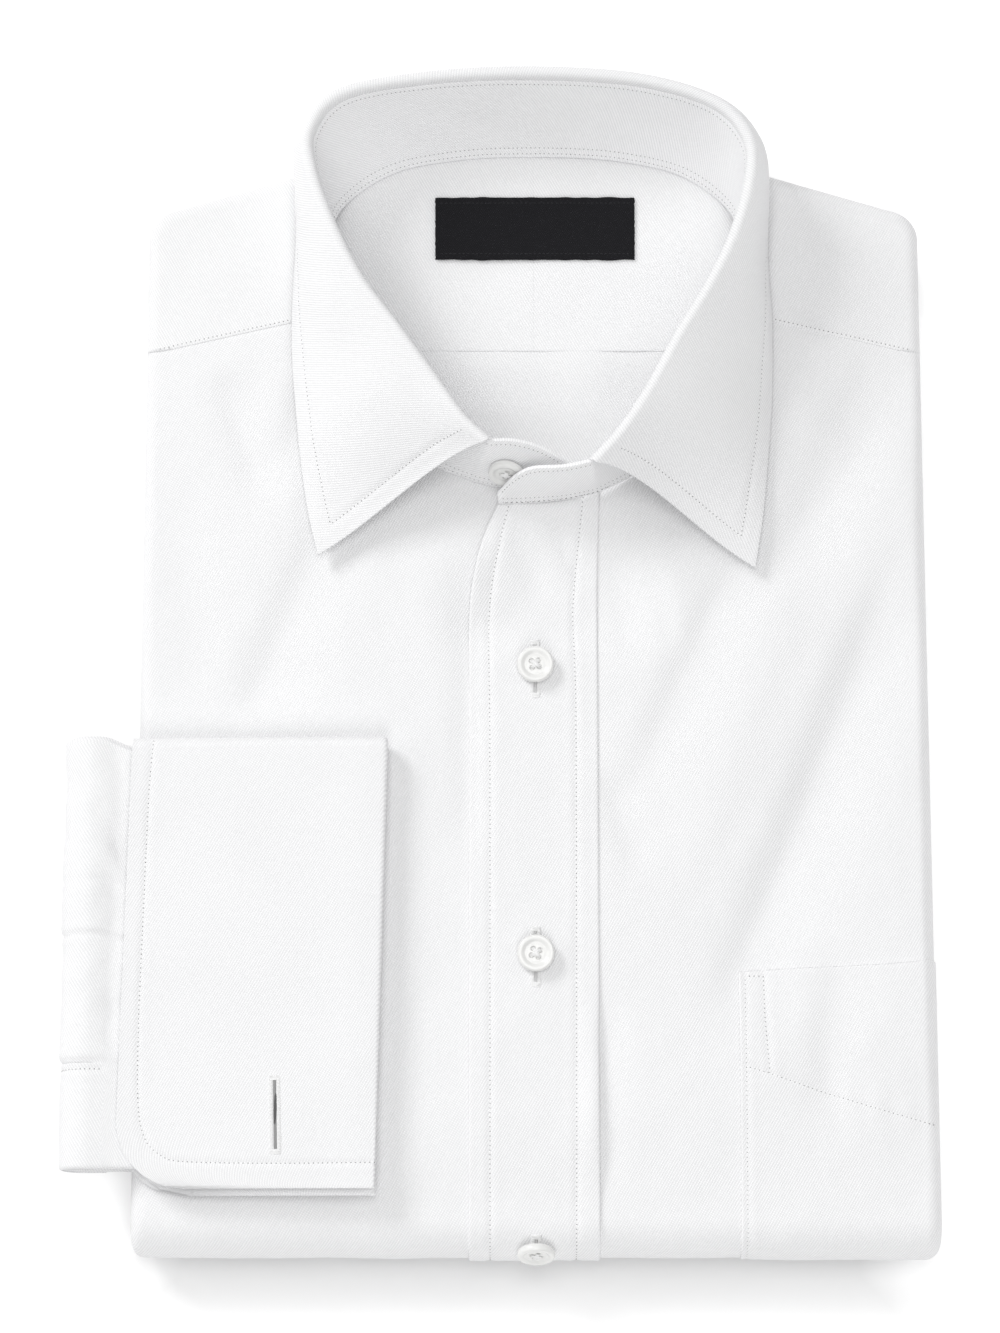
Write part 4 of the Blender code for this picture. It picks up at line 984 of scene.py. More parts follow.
def declare(flat, with_pieces=()):
    """Works out a piece's cut, the box of its own map and the sum of the areas of the map's faces, and keeps
    neither.
    """
    corners = flat.reshape(-1, 2)
    width, length = (corners.max(axis=0) - corners.min(axis=0)) * MM
    across, down = flat[:-1, 1:] - flat[:-1, :-1], flat[1:, :-1] - flat[:-1, :-1]
    area = float(np.abs(across[..., 0] * down[..., 1] - across[..., 1] * down[..., 0]).sum()) * MM * MM
    area = None if area > 0.999 * width * length else area


def front(name, sign, finish):
    """One front: a grid over distance from the middle and distance along the strip, laid on the strip.

    Its top edge is tucked under the yoke, and its outer columns go round the side to a lip.
    """
    rolled_from = HALF_WIDTH - HALF_ARM
    sides, shares, across = wrap_columns(np.linspace(1.0, rolled_from, 92), 14, 4)
    neck = np.array(NECKLINE)
    tucked = seam_y(np.minimum(sides, rolled_from)) + SEAM_TUCK
    tucked = np.where(shares < 0.999, seam_y(rolled_from) + SEAM_TUCK, tucked)
    top = np.interp(sides, neck[:, 0], neck[:, 1 if sign < 0 else 2])
    top = np.where((sides > NECK_JOIN) | (shares < 0.999), tucked, top)
    hem = HEM_Y - HEM_RISE * (np.minimum(sides, HALF_WIDTH) / HALF_WIDTH) ** 2
    along = along_rows(path_distance(top), under_distance(hem), UPPER_ROWS, TURN_ROWS, 26)
    y = PATH_START_Y - along
    face = surface_height(sides * sign, along)
    face = face - 0.3 * ease((y - tucked + SEAM_TUCK + 0.6) / 1.4) * (sides > NECK_JOIN - 3.0)
    height = HALF_ARM * shares + (face - HALF_ARM) * np.clip(shares, 0.0, 1.0)
    points = strip_points(sides * sign, height, along)
    flat = as_points(across * sign, -along)
    if sign < 0:
        points, flat = points[:, ::-1], flat[:, ::-1]
    made = cloth_piece(name, points, flat, CLOTH_THICK, finish)
    declare(flat)


def shoulder_corner():
    """Centre of the shoulder's rounded corner, and the slope of the shoulder line."""
    slope = math.atan(-SHOULDER_SLOPE)
    centre_side = HALF_WIDTH - SHOULDER_CORNER
    tangent_side = centre_side + SHOULDER_CORNER * math.sin(slope)
    return centre_side, float(shoulder_y(tangent_side)) - SHOULDER_CORNER * math.cos(slope), slope


def yoke_rim(c):
    """The rolled rim of a yoke in the plan, at places along it from 0 to 12, and the ways out of it.

    It goes up the side to 3, round the corner as an arc to 7, and along the shoulder line.
    """
    centre_side, centre_y, slope = shoulder_corner()
    facing = np.interp(c, (3.0, 7.0), (0.0, math.pi / 2 - slope))
    end_side = centre_side + SHOULDER_CORNER * math.sin(slope)
    low_y = float(seam_y(HALF_WIDTH - HALF_ARM)) + YOKE_EDGE
    side = np.where(c < 3.0, HALF_WIDTH, centre_side + SHOULDER_CORNER * np.cos(facing))
    side = np.where(c > 7.0, np.interp(c, (7.0, 12.0), (end_side, NECK_SIDE[-1][0])), side)
    y = np.where(c < 3.0, np.interp(c, (0.0, 3.0), (low_y, centre_y)),
                 centre_y + SHOULDER_CORNER * np.sin(facing))
    y = np.where(c > 7.0, shoulder_y(side), y)
    return as_points(side, y), as_points(np.cos(facing), np.sin(facing))


def yoke(name, sign, finish):
    """Half of the outer yoke: ruled from its seam and the side of the neck to the rolled rim outside.

    From the rim the cloth goes over a half circle to a lip underneath.
    """
    c = np.linspace(0.0, 12.0, YOKE_COLUMNS)
    rim, outward = yoke_rim(c)
    inner_rim = rim - outward * HALF_ARM
    seam_side = np.interp(c[c <= 7.0], (0.0, 7.0), (HALF_WIDTH - HALF_ARM - 2.5, NECK_JOIN + 1.6))
    seam = as_points(seam_side, seam_y(seam_side) + YOKE_EDGE)
    inner = np.vstack((seam, smooth_rows(NECK_SIDE, int(np.sum(c > 7.0)) + 1)[1:]))
    steps = np.linspace(0.0, 1.0, YOKE_ROWS)[:, None, None]
    plan = inner + (inner_rim - inner) * steps
    x, y = MIDDLE_X + plan[..., 0] * sign, plan[..., 1]
    z = front_z(x, y) + YOKE_LIFT

    angles = np.linspace(0.0, math.pi, 15)[1:, None]
    mid_z = TURN_CENTRE_Z + TURN_MID_RADIUS
    fuller = z[-1] - mid_z - HALF_ARM
    roll_side, roll_y = (inner_rim[:, axis] + outward[:, axis] * HALF_ARM * np.sin(angles) for axis in (0, 1))
    roll_z = mid_z + HALF_ARM * np.cos(angles) + fuller * np.maximum(np.cos(angles), 0.0)
    roll = as_points(MIDDLE_X + roll_side * sign, roll_y, roll_z)
    lip_steps = np.linspace(0.0, YOKE_LIP, 5)[1:]
    inwards = as_points(-outward[:, 0] * sign, -outward[:, 1], 0.0)
    points = np.concatenate((as_points(x, y, z), roll, roll[-1] + inwards * lip_steps[:, None, None]))
    past = np.concatenate((np.zeros(len(steps)), HALF_ARM * angles[:, 0], HALF_ARM * math.pi + lip_steps))
    base = np.concatenate((plan, np.repeat(plan[-1:], len(past) - len(steps), axis=0)))
    flat = (base + outward * past[:, None, None]) * np.array((sign, 1.0))
    points, flat = turned(points, flat, 10, 40, UP)
    points, flat = with_round_edges(points, flat, 0.3, ("top",))
    made = cloth_piece(name, points, flat, CLOTH_THICK, finish)

    side = np.linspace(NECK_JOIN + 2.0, HALF_WIDTH - HALF_ARM, 60)
    x, y = MIDDLE_X + side * sign, seam_y(side) + YOKE_STITCHES
    spots = as_points(x, y, front_z(x, y) + YOKE_LIFT)
    sewing = Sewing()
    sewing.line(spots, upright(spots), 13)
    declare(flat, sewing.made(name + "_stitches"))


def sides_at(table, count, y):
    """Left and right x at a height, from the smooth curve through a table of y, left and right."""
    curve = smooth_rows(table, count)[::-1].T
    return np.interp(y, curve[0], curve[1]), np.interp(y, curve[0], curve[2])


def placket_stitch_x(y):
    """Where the placket's two stitch rows are at a height."""
    return sides_at(PLACKET_STITCHES, 80, y)


def placket_height(x, along):
    """Face of the placket above the strip's mid-line: over the fronts, dipped at its two stitch rows."""
    left, right = placket_stitch_x(PATH_START_Y - along)
    dips = stitch_dip(x - left) + stitch_dip(x - right)
    near = np.minimum(np.abs(x - left), np.abs(x - right))
    gathers = 0.10 * puckers(along, near, 5.0, 6)
    gape = PLACKET_GAPE * bell(along - path_distance(PLACKET_GAPE_Y), PLACKET_GAPE_REACH)
    gape = gape * ease((x - right) / 5.0)
    rolled = np.clip((left + 9.0 - x) / 14.0, 0.0, 1.1) ** 2
    roll = PLACKET_ROLL * bell(along - path_distance(PLACKET_ROLL_Y), PLACKET_ROLL_REACH) * rolled
    return surface_height(x - MIDDLE_X, along) + PLACKET_LIFT + dips + gathers + gape + roll


def strip_spots(x, along, height):
    """Points on a face of the strip, and its outward directions there."""
    spots = strip_points(x - MIDDLE_X, height, along)
    angle = turn_progress(along)
    outward = as_points(0.0, -np.sin(angle), np.cos(angle))
    return spots, np.broadcast_to(outward, spots.shape)


def button_alongs():
    """Distances along the strip of the buttons down the placket."""
    turn = path_distance(TURN_Y) + TURN_BUTTON_ANGLE * TURN_RADIUS
    return [path_distance(y) for y in BUTTON_YS] + [turn]


def placket(finish):
    """The front band: a grid between its two edges along the strip, round the turn and underneath."""
    start = path_distance(PLACKET_TOP_Y + PLACKET_TOP_RISE * np.linspace(0.0, 1.0, PLACKET_COLUMNS) ** 2.2)
    end = np.full(PLACKET_COLUMNS, under_distance(HEM_Y - PLACKET_END_ROOM))
    along = along_rows(start, end, UPPER_ROWS, TURN_ROWS, 30)
    left, right = sides_at(PLACKET, 60, PATH_START_Y - along)
    x = left + (right - left) * np.linspace(0.0, 1.0, PLACKET_COLUMNS)
    points = strip_points(x - MIDDLE_X, placket_height(x, along), along)
    points, flat = with_round_edges(points, as_points(x, -along), 0.7, ("left", "right"))
    made = cloth_piece("front_placket", points, flat, CLOTH_THICK, finish)

    sewing, slit_shades = Sewing(), Sewing()
    for number, first in enumerate((start[0], start[-9])):
        rows = np.linspace(first + 0.6, end[0] - 1.0, 700)
        x_at = placket_stitch_x(PATH_START_Y - rows)[number]
        sewing.line(*strip_spots(x_at, rows, placket_height(x_at, rows)), 3 + number)
    cuts_at = [at + drop for at, drop in zip(button_alongs(), BUTTONHOLE_DROPS)]
    cuts_at += [under_distance(y) for y in HIDDEN_BUTTONHOLE_YS]
    for number, at in enumerate(cuts_at):
        cut = at + np.arange(-BUTTONHOLE_LENGTH / 2, BUTTONHOLE_LENGTH / 2, WHIP_PITCH)
        x_at = np.full(len(cut), MIDDLE_X + BUTTON_ASIDE)
        buttonhole(sewing, slit_shades, *strip_spots(x_at, cut, placket_height(x_at, cut)), 0.85, 60 + number)
    stitches = sewing.made("placket_stitches")
    # the closed slits are grey strips of painted shade
    cuts = slit_shades.made("placket_buttonholes", "closed_slit")
    declare(flat, stitches + cuts)


def pocket_height(side, along):
    """Face of the pocket above the mid-line: double above the hem's stitch row, dipped along the rows."""
    x, y = MIDDLE_X + side, PATH_START_Y - along
    hem = np.array(POCKET_HEM)
    slanted = (y - np.interp(x, hem[:, 0], hem[:, 1])) * 0.96
    doubled = 0.14 * ease((slanted + 1.6) / 0.8)
    above = ease((slanted + 0.5) / 1.0)
    box_x = np.interp(y, (-127.7, -98.8), (81.7, 80.3))
    dips = stitch_dip(slanted) + stitch_dip(x - POCKET_X - POCKET_INSET) + stitch_dip(x - box_x) * above
    return surface_height(side, along) + POCKET_LIFT + doubled + dips + 0.16 * puckers(x, slanted, 5.0, 5)


def pocket(finish):
    """The chest pocket: a grid on the left front, round the side and under the turn with it."""
    centre, edge = HALF_WIDTH - HALF_ARM, HALF_ARM + POCKET_LIFT
    angles = np.linspace(0.0, POCKET_SIDE_END, 14)[1:]
    flat_sides = np.linspace(POCKET_X - MIDDLE_X, centre, 74)
    sides = np.concatenate((flat_sides, centre + edge * np.sin(angles)))
    shares = np.concatenate((np.ones(len(flat_sides)), np.cos(angles)))
    across = np.concatenate((flat_sides, centre + HALF_ARM * angles))
    top = path_distance(np.interp(sides, POCKET_TOP_SIDES, POCKET_TOP_YS))
    turn_start = np.full_like(top, path_distance(TURN_Y))
    along = spans((top, turn_start, turn_start + POCKET_TURN_END * TURN_RADIUS), (99, 29))
    height = edge * shares + (pocket_height(sides, along) - edge) * np.clip(shares, 0.0, 1.0)
    points = strip_points(sides, height, along)
    points, flat = with_round_edges(points, as_points(across, -along), 0.6, ("left", "top"))
    made = cloth_piece("chest_pocket", points, flat, CLOTH_THICK * 0.8, finish)

    sewing = Sewing()
    row_x = POCKET_X + POCKET_INSET
    rows = (
        as_points(row_x, np.linspace(-98.4, TURN_Y - 14.0, 80)),
        resample(np.array(POCKET_HEM), 1.5)[:-2],
        resample(np.array(((row_x, -98.6), (80.3, -98.6), (80.4, -110.7), (81.6, -128.2))), 1.5),
    )
    for seed, row in enumerate(rows, start=31):
        x, along_row = row[:, 0], path_distance(row[:, 1])
        sewing.line(*strip_spots(x, along_row, pocket_height(x - MIDDLE_X, along_row)), seed)
    declare(flat, sewing.made("pocket_stitches"))


# ---------------------------------------------------------------- inside of the neck

def level_panel(name, sides, low_y, high_y, level, rows, finish, seed):
    """A nearly flat panel between two edges: its level, soft ripples, and a rise that meets the yoke."""
    steps = np.linspace(0.0, 1.0, rows)[::-1, None]
    y = low_y + (high_y - low_y) * steps
    side = np.broadcast_to(sides, y.shape)
    rise = 0.22 * ripples(side, y, seed, 40.0) - 0.05 * bell(side, 0.9)
    rise = rise + 1.05 * ease((y - 84.0) / 14.0) * (level < INNER_YOKE_Z)
    points = as_points(MIDDLE_X + side, y, level + rise)
    points, flat = with_round_edges(points, as_points(side, y), 0.3, ("bottom",))
    made = cloth_piece(name, points, flat, CLOTH_THICK, finish)
    declare(flat)


def inner_neck(finish):
    """The two halves of the inner yoke, meeting at the middle, and the back panel below them."""
    neck = np.array(BACK_NECK)
    for name, sign in (("inner_yoke_right", -1.0), ("inner_yoke_left", 1.0)):
        sides = np.sort(sign * np.append((0.0, 0.1), np.linspace(0.6, BACK_NECK[-1][0], 68)))
        high = np.interp(np.abs(sides), neck[:, 0], neck[:, 1])
        low = np.full(70, BACK_YOKE_SEAM_Y)
        level_panel(name, sides, low, high, INNER_YOKE_Z + PANEL_FACE, 66, finish, 21)
    sides = np.linspace(4.0 - PAN_HALF_WIDTH, PAN_HALF_WIDTH - 4.0, 80)
    level_panel("back_panel", sides, np.full(80, BACK_PANEL_END_Y), np.full(80, BACK_YOKE_SEAM_Y + 9.0),
                BACK_PANEL_Z + PANEL_FACE, 50, finish, 22)


def label_z(x, y):
    """Face of the label: just over the inner yoke, with faint waves."""
    return INNER_YOKE_Z + PANEL_FACE + LABEL_LIFT + LABEL_SIZE[2] + 0.12 * ripples(x, y, 31, 30.0)


def neck_label(finish):
    """The bare woven label: a rounded shell with slightly uneven edges, sewn along its top and bottom."""
    width, height, thick = LABEL_SIZE
    across, up = np.meshgrid(np.linspace(-1.0, 1.0, 110), np.linspace(1.0, -1.0, 38))
    x = LABEL_CENTRE[0] + across * width / 2
    x = x + 0.15 * across ** 9 * ripples(up * height, 0.0 * up, 33, 4.0)
    y = LABEL_CENTRE[1] + up * (height / 2 - 0.3) + 0.16 * up ** 5 * ripples(x, 0.0 * x, 32, 7.0)
    points, flat = with_round_edges(as_points(x, y, label_z(x, y)), as_points(x, y), 0.4,
                                    ("left", "right", "top", "bottom"))
    made = cloth_piece("neck_label", points, flat, thick - 0.3, finish)
    sewing = Sewing()
    x = LABEL_CENTRE[0] + np.linspace(1.0 - width / 2, width / 2 - 1.0, 60)
    for row, seed in ((height / 2 - 1.9, 35), (1.9 - height / 2, 36)):
        y = np.full(60, LABEL_CENTRE[1] + row)
        spots = as_points(x, y, label_z(x, y))
        sewing.line(spots, upright(spots), seed)
    sewing.holes = None        # they would be grey dots on the black
    stitches = sewing.made("label_stitches", "label_thread", LABEL_SLOT)
    declare(flat, stitches)


# ---------------------------------------------------------------- collar

def collar_stations():
    """Foot, crest and edge at each station, with the way up the stand and the level way out."""
    foot, roll, edge = np.split(smooth_rows(COLLAR, COLLAR_STATIONS), 3, axis=1)
    return foot, roll, edge, unit(roll - foot), unit((edge - roll) * np.array((1.0, 1.0, 0.0)))


def stand_tops(roll, up, out):
    """Top edge of the stand: down the stand's way from the crest, and back under the roll."""
    return roll - up * (ROLL_RADIUS + ROLL_RISE + 0.5) - out * ROLL_RADIUS * 0.6


def stand_grid():
    """The stand: ruled from its top to its foot, running on into the two front ends.

    Its faces point into the ring of the neck.  A faint bow and soft waves keep it from being ruled flat.
    """
    foot, roll, _, up, out = collar_stations()
    ruling = np.hstack((foot, stand_tops(roll, up, out)))
    right = smooth_rows(np.vstack((ruling[0], RIGHT_TAB)), 50)[1:][::-1]
    left = smooth_rows(np.vstack((ruling[-1], LEFT_TAB)), 50)[1:]
    feet, tops = np.split(np.vstack((right, ruling, left)), 2, axis=1)
    steps = np.linspace(1.0, 0.0, 30)[:, None, None]
    points = feet + (tops - feet) * steps
    flat = as_points(lengths((feet + tops) / 2), steps[..., 0] * np.linalg.norm(tops - feet, axis=1))
    middle = len(feet) // 2
    points, flat = turned(points, flat, 15, middle, (MIDDLE_X, 60.0, 40.0) - points[15, middle])
    travelled, height = flat[..., 0], flat[..., 1]
    bow = -0.6 * np.sin(np.pi * height / height[0]) + 0.12 * ripples(travelled, height, 41, 24.0)
    for row in STAND_ROWS:
        bow = bow + stitch_dip(height - row) * 0.4
    return points + normals_of(points) * bow[..., None], flat


def grid_line(points, rows, columns, lift):
    """A line on a grid at broken row and column numbers, lifted off it, with its outward directions."""
    normal = read_grid(normals_of(points), rows, columns)
    return read_grid(points, rows, columns) + normal * lift, normal * math.copysign(1.0, lift)


def stand_line(points, tall, begin, end, height, side):
    """A line on one side of the stand between two columns, at one height or depth all along."""
    rows, count = points.shape[:2]
    columns = np.arange(begin % count, end % count, 0.5)
    share = height / np.interp(columns, np.arange(count), tall)
    return grid_line(points, (rows - 1) * ((height > 0.0) - share), columns, side * STAND_THICK / 2)


def collar_stand(finish):
    """The stand as a shell about its grid, with its stitch rows and the slanted stitches at its left."""
    points, flat = stand_grid()
    made = doubled_piece("collar_stand", points, flat, STAND_THICK, finish)
    tall = flat[0, :, 1]
    sewing = Sewing()
    for *where, seed in STAND_SEAMS:
        sewing.line(*stand_line(points, tall, *where), seed)
    sewing.row(*stand_line(points, tall, *STAND_WHIP), 1.7, 1.1, 0.6, 0.4, 47)
    declare(flat,
            sewing.made("stand_stitches"))


def distance_to(points, line):
    """Distance from each point of a grid to the nearest of a line's points."""
    square = np.full(points.shape[:2], 1.0e9)
    for part in np.array_split(line, 12):
        gap = points[:, :, None, :] - part[None, None]
        square = np.minimum(square, np.min(np.sum(gap ** 2, axis=-1), axis=-1))
    return np.sqrt(square)


def crossing(distance, inset):
    """Broken row number where each column of distances first rises past the inset."""
    row = np.maximum(np.argmax(distance >= inset, axis=0), 1)
    column = np.arange(distance.shape[1])
    before, after = distance[row - 1, column], distance[row, column]
    return row - 1 + (inset - before) / np.maximum(after - before, 1e-6)


def leaf_grid():
    """Middle surface of the leaf: a half turn over the stand's top, then a bowed fall to the edge.

    Its faces are outwards, judged at the back of the neck.
    """
    _, roll, edge, up, out = collar_stations()
    level = np.array(UP)
    base = stand_tops(roll, up, out) + up * 0.12
    centre = base + up * ROLL_RISE + out * ROLL_RADIUS
    fall = edge - roll
    slope = np.arctan2(-fall[:, 2], np.linalg.norm(fall[:, :2], axis=1))[:, None]
    angle = math.pi - (math.pi / 2 + slope) * np.linspace(0.0, 1.0, 15)[1:, None, None]
    rolled = centre + out * ROLL_RADIUS * np.cos(angle) + level * ROLL_RADIUS * np.sin(angle)
    share = np.linspace(0.0, 1.0, COLLAR_STATIONS)
    fullness = LEAF_BULGE * (3.0 * ease(np.minimum(share, 1.0 - share) / 0.12) - 2.0)[:, None]
    bow = (level * np.cos(slope) + out * np.sin(slope)) * fullness
    front_bow = as_points(0.0, FRONT_BOWS[0] * (1.0 - ease(share / FRONT_BOW_REACH))
                          + FRONT_BOWS[1] * (1.0 - ease((1.0 - share) / FRONT_BOW_REACH)), 0.0)
    t = np.linspace(0.0, 1.0, 49)[1:, None, None]
    start = rolled[-1]
    falling = start + (edge - start) * t + bow * 2 * t * (1 - t) + front_bow * 6.75 * t * (1 - t) ** 2
    points = np.concatenate((base[None], rolled, falling))
    flat = as_points(lengths(points[45]), -lengths(points))
    return turned(points, flat, 45, points.shape[1] // 2, (0.0, 1.0, 0.0))


def read_row(grid, rows, columns):
    """Numbers of a grid at whole rows and the broken columns found for those rows."""
    return read_grid(grid[..., None], rows, columns[rows.astype(int)])[..., 0]


def leaf_seam(near_edge, near_front):
    """Rows and columns of the leaf's stitch row: down one front edge, along the outer one, up the other.

    Each is where the distance from its edge is the inset, as far as the corners where the two meet.
    """
    last_row, last_column = near_edge.shape[0] - 1, near_edge.shape[1] - 1
    outer = last_row - crossing(near_edge[::-1], LEAF_INSET)
    first = crossing(near_front.T[:last_column // 3], LEAF_INSET)
    second = last_column - crossing(near_front.T[::-1][:last_column // 3], LEAF_INSET)
    down = np.arange(16.0, last_row + 1.0)
    first_rows = down[read_row(near_edge, down, first) >= LEAF_INSET]
    second_rows = down[read_row(near_edge, down, second) >= LEAF_INSET]
    begin, end = first[int(first_rows[-1])], second[int(second_rows[-1])]
    along = np.arange(math.ceil(begin), math.floor(end) + 1.0)
    rows = np.concatenate((first_rows, outer[along.astype(int)], second_rows[::-1]))
    columns = np.concatenate((first[first_rows.astype(int)], along, second[second_rows.astype(int)][::-1]))
    return rows, columns


def collar_leaf(finish):
    """The leaf as a shell about its middle surface, soft and uneven, with a stitch row along its edges."""
    points, flat = leaf_grid()
    near_edge = distance_to(points, points[-1])
    near_front = np.minimum(distance_to(points, points[:, 0]), distance_to(points, points[:, -1]))
    across, down = flat[..., 0], flat[..., 1]
    fallen = ease((-down - 8.0) / 10.0)
    inset = np.minimum(near_edge, near_front) - LEAF_INSET
    soft = 0.26 * ripples(across, down, 51, 38.0)
    gathers = 0.10 * puckers(across + down, inset, 4.0, 6)
    points = points + normals_of(points) * ((stitch_dip(inset) + soft + gathers) * fallen)[..., None]
    made = doubled_piece("collar_leaf", points, flat, LEAF_THICK, finish)

    sewing = Sewing()
    for lift in (LEAF_THICK / 2, -LEAF_THICK / 2):
        sewing.line(*grid_line(points, *leaf_seam(near_edge, near_front), lift), 55)
    declare(flat,
            sewing.made("leaf_stitches"))


# ---------------------------------------------------------------- sleeve and cuff

def sleeve_middle():
    """Mid-line of the sleeve seen along it: out of the notch, round a half circle, over to the cuff."""
    low_z = TURN_CENTRE_Z
    high_z = float(cuff_level(SLEEVE_END_X))
    radius = (high_z - low_z) / 2
    centre_x = SLEEVE_OUT_X + radius + SLEEVE_HALF_THICK - 2.0
    turn = np.linspace(-math.pi / 2, -3 * math.pi / 2, SLEEVE_TURN_STEPS)
    bend = np.stack((centre_x + radius * np.cos(turn), low_z + radius + radius * np.sin(turn)), axis=1)
    start = np.stack((np.linspace(SLEEVE_IN_X - 7.0, centre_x, 8)[:-1], np.full(7, low_z)), axis=1)
    end = np.stack((np.linspace(centre_x, SLEEVE_END_X, 16)[1:], np.full(15, high_z)), axis=1)
    return np.vstack((start, bend, end))


def path_normals(path):
    """Unit normals on the outer side of the sleeve's mid-line."""
    step = unit(np.gradient(path, axis=0))
    return np.stack((-step[:, 1], step[:, 0]), axis=1)


def sleeve_ring():
    """Section of the flattened tube as y and height above its mid-line: down the outer ply, round the
    bottom fold, up the inner ply, round the top fold."""
    half = SLEEVE_HALF_THICK - SLEEVE_WALL / 2
    upper, lower = SLEEVE_TOP_Y - SLEEVE_HALF_THICK, SLEEVE_BOTTOM_Y + SLEEVE_HALF_THICK
    out_y = np.linspace(upper, lower, 120)
    sink = SLEEVE_PLACKET_SINK * ease((SLEEVE_PLACKET_Y + 2.6 - out_y) / 1.6)
    angle = np.linspace(0.0, math.pi, 11)[1:-1]
    bottom = np.stack((lower - half * np.sin(angle), half * np.cos(angle)), axis=1)
    bottom[:, 1] -= SLEEVE_PLACKET_SINK * np.maximum(np.cos(angle), 0.0)
    top = np.stack((upper + half * np.sin(angle), -half * np.cos(angle)), axis=1)
    in_y = np.linspace(lower, upper, 40)
    return np.vstack((np.stack((out_y, half - sink), axis=1), bottom,
                      np.stack((in_y, np.full(40, -half)), axis=1), top))


def sleeve_drop(x):
    """How far the sleeve's upper face has fallen at a place on its way to the cuff."""
    return SLEEVE_DROP * ease((x + 126.0) / 11.0)


def sleeve(finish):
    """The sleeve above the cuff: its flat section carried along the mid-line, open at both ends."""
    path, ring = sleeve_middle(), sleeve_ring()
    normal = path_normals(path)
    ring_y, ring_height = ring.T
    share = (ring_y - SLEEVE_BOTTOM_Y) / (SLEEVE_TOP_Y - SLEEVE_BOTTOM_Y)
    high = path[:, 1] > SLEEVE_HIGH_Z
    entering = (ease((path[:, 0] - SLEEVE_OUT_X - 10.0) / 10.0) * high)[:, None]
    travelled = lengths(path)[:, None]
    soft = waves(travelled, ring_y, SLEEVE_WAVES)
    for y, width, depth in SLEEVE_DENTS:
        soft = soft + depth * bell(ring_y - y, width)
    plan_x = np.where(high, path[:, 0], -200.0)[:, None]
    for x0, y0, x1, y1, width, depth in SLEEVE_CREASES:
        soft = soft + depth * bell(line_distance(plan_x, ring_y, ((x0, y0), (x1, y1))), width)
    free = ease((ring_y - SLEEVE_PLACKET_Y - 2.0) / 6.0) * (ring_height > 1.0)
    drop = sleeve_drop(plan_x) * (ring_height > 1.0)
    height = ring_height + np.clip(soft, -1.5, 0.6) * free - drop
    lean = CUFF_LEAN * entering * (ring_y - CUFF_TOP_Y)
    x = path[:, :1] + normal[:, :1] * height + lean
    z = path[:, 1:] + normal[:, 1:] * height
    points = as_points(x, ring_y - SLEEVE_TAPER * entering * share, z)
    flat = as_points(travelled, -lengths(np.vstack((ring, ring[:1]))))
    points, flat = turned(points, flat, 27, 60, (-1.0, 0.0, 0.0), axis=0)
    made = cloth_piece("sleeve_right", points, flat, SLEEVE_WALL, finish, 0.0, True)
    declare(flat)


def sleeve_placket(finish):
    """The band beside the sleeve's opening, laid on the outer ply and following its turn."""
    path, normal = sleeve_middle()[5:-1], path_normals(sleeve_middle())[5:-1]
    y = np.linspace(SLEEVE_PLACKET_Y, SLEEVE_BOTTOM_Y + 0.8, 60)[:, None]
    high = path[:, 1] > SLEEVE_HIGH_Z
    row = stitch_dip(SLEEVE_PLACKET_Y - SLEEVE_PLACKET_INSET - y)
    lift = SLEEVE_HALF_THICK - SLEEVE_PLACKET_SINK + 0.55 + row
    lift = lift + 0.12 * ripples(lengths(path)[None], y, 63, 20.0) - sleeve_drop(path[:, 0]) * high
    points = as_points(path[:, 0] + normal[:, 0] * lift, y, path[:, 1] + normal[:, 1] * lift)
    points, flat = turned(points, as_points(lengths(path), y), 20, 25, (-1.0, 0.0, 0.0))
    rows_each_mm = (len(y) - 1) / (SLEEVE_PLACKET_Y - SLEEVE_BOTTOM_Y - SLEEVE_HALF_THICK)
    columns = np.arange(points.shape[1], dtype=float)
    rows = np.full(len(columns), SLEEVE_PLACKET_INSET * rows_each_mm)
    sewing = Sewing()
    sewing.line(*grid_line(points, rows, columns, 0.02), 64)
    points, flat = with_round_edges(points, flat, 0.45, ("top",))
    points, flat = with_round_edges(points, flat, 1.1, ("bottom",))
    made = cloth_piece("sleeve_placket", points, flat, CLOTH_THICK * 0.8, finish)
    declare(flat, sewing.made("sleeve_placket_stitches"))


def cuff_relief(x, y):
    """Unevenness of the cuff's upper face: the dip of its stitch row, gathers, soft waves."""
    row = line_distance(x, y, smooth_rows(CUFF_STITCHES, 60))
    relief = stitch_dip(row) + 0.12 * puckers(x + y, row, 4.0, 7)
    swell = 0.45 * bell(x - CUFF_TURN_X + 9.0, 8.0) - 1.1 * ease((-70.0 - y) / 90.0)
    return relief + waves(x, y, CUFF_WAVES) + swell


def cuff_round():
    """Places round the arm: y from the cuff's lower end over the fold at the top to its upper end, and
    the angle from straight up that the surface faces there."""
    top_y = CUFF_TOP_Y - CUFF_OUTER
    fold = np.linspace(math.pi, 0.0, 13)[1:-1]
    low_share = spans((0.0, 0.16, 1.0), (11, 23))
    high_share = spans((0.0, 0.035, 0.080, 0.18, 1.0), (6, 17, 13, 49))[::-1]
    low_y = CUFF_UNDER_Y + (top_y - CUFF_UNDER_Y) * low_share
    high_y = CUFF_BOTTOM_Y + (top_y - CUFF_BOTTOM_Y) * high_share
    y = np.concatenate((low_y, np.full(len(fold), top_y), high_y))
    return y, np.concatenate((np.full(len(low_y), math.pi), fold, np.zeros(len(high_y))))


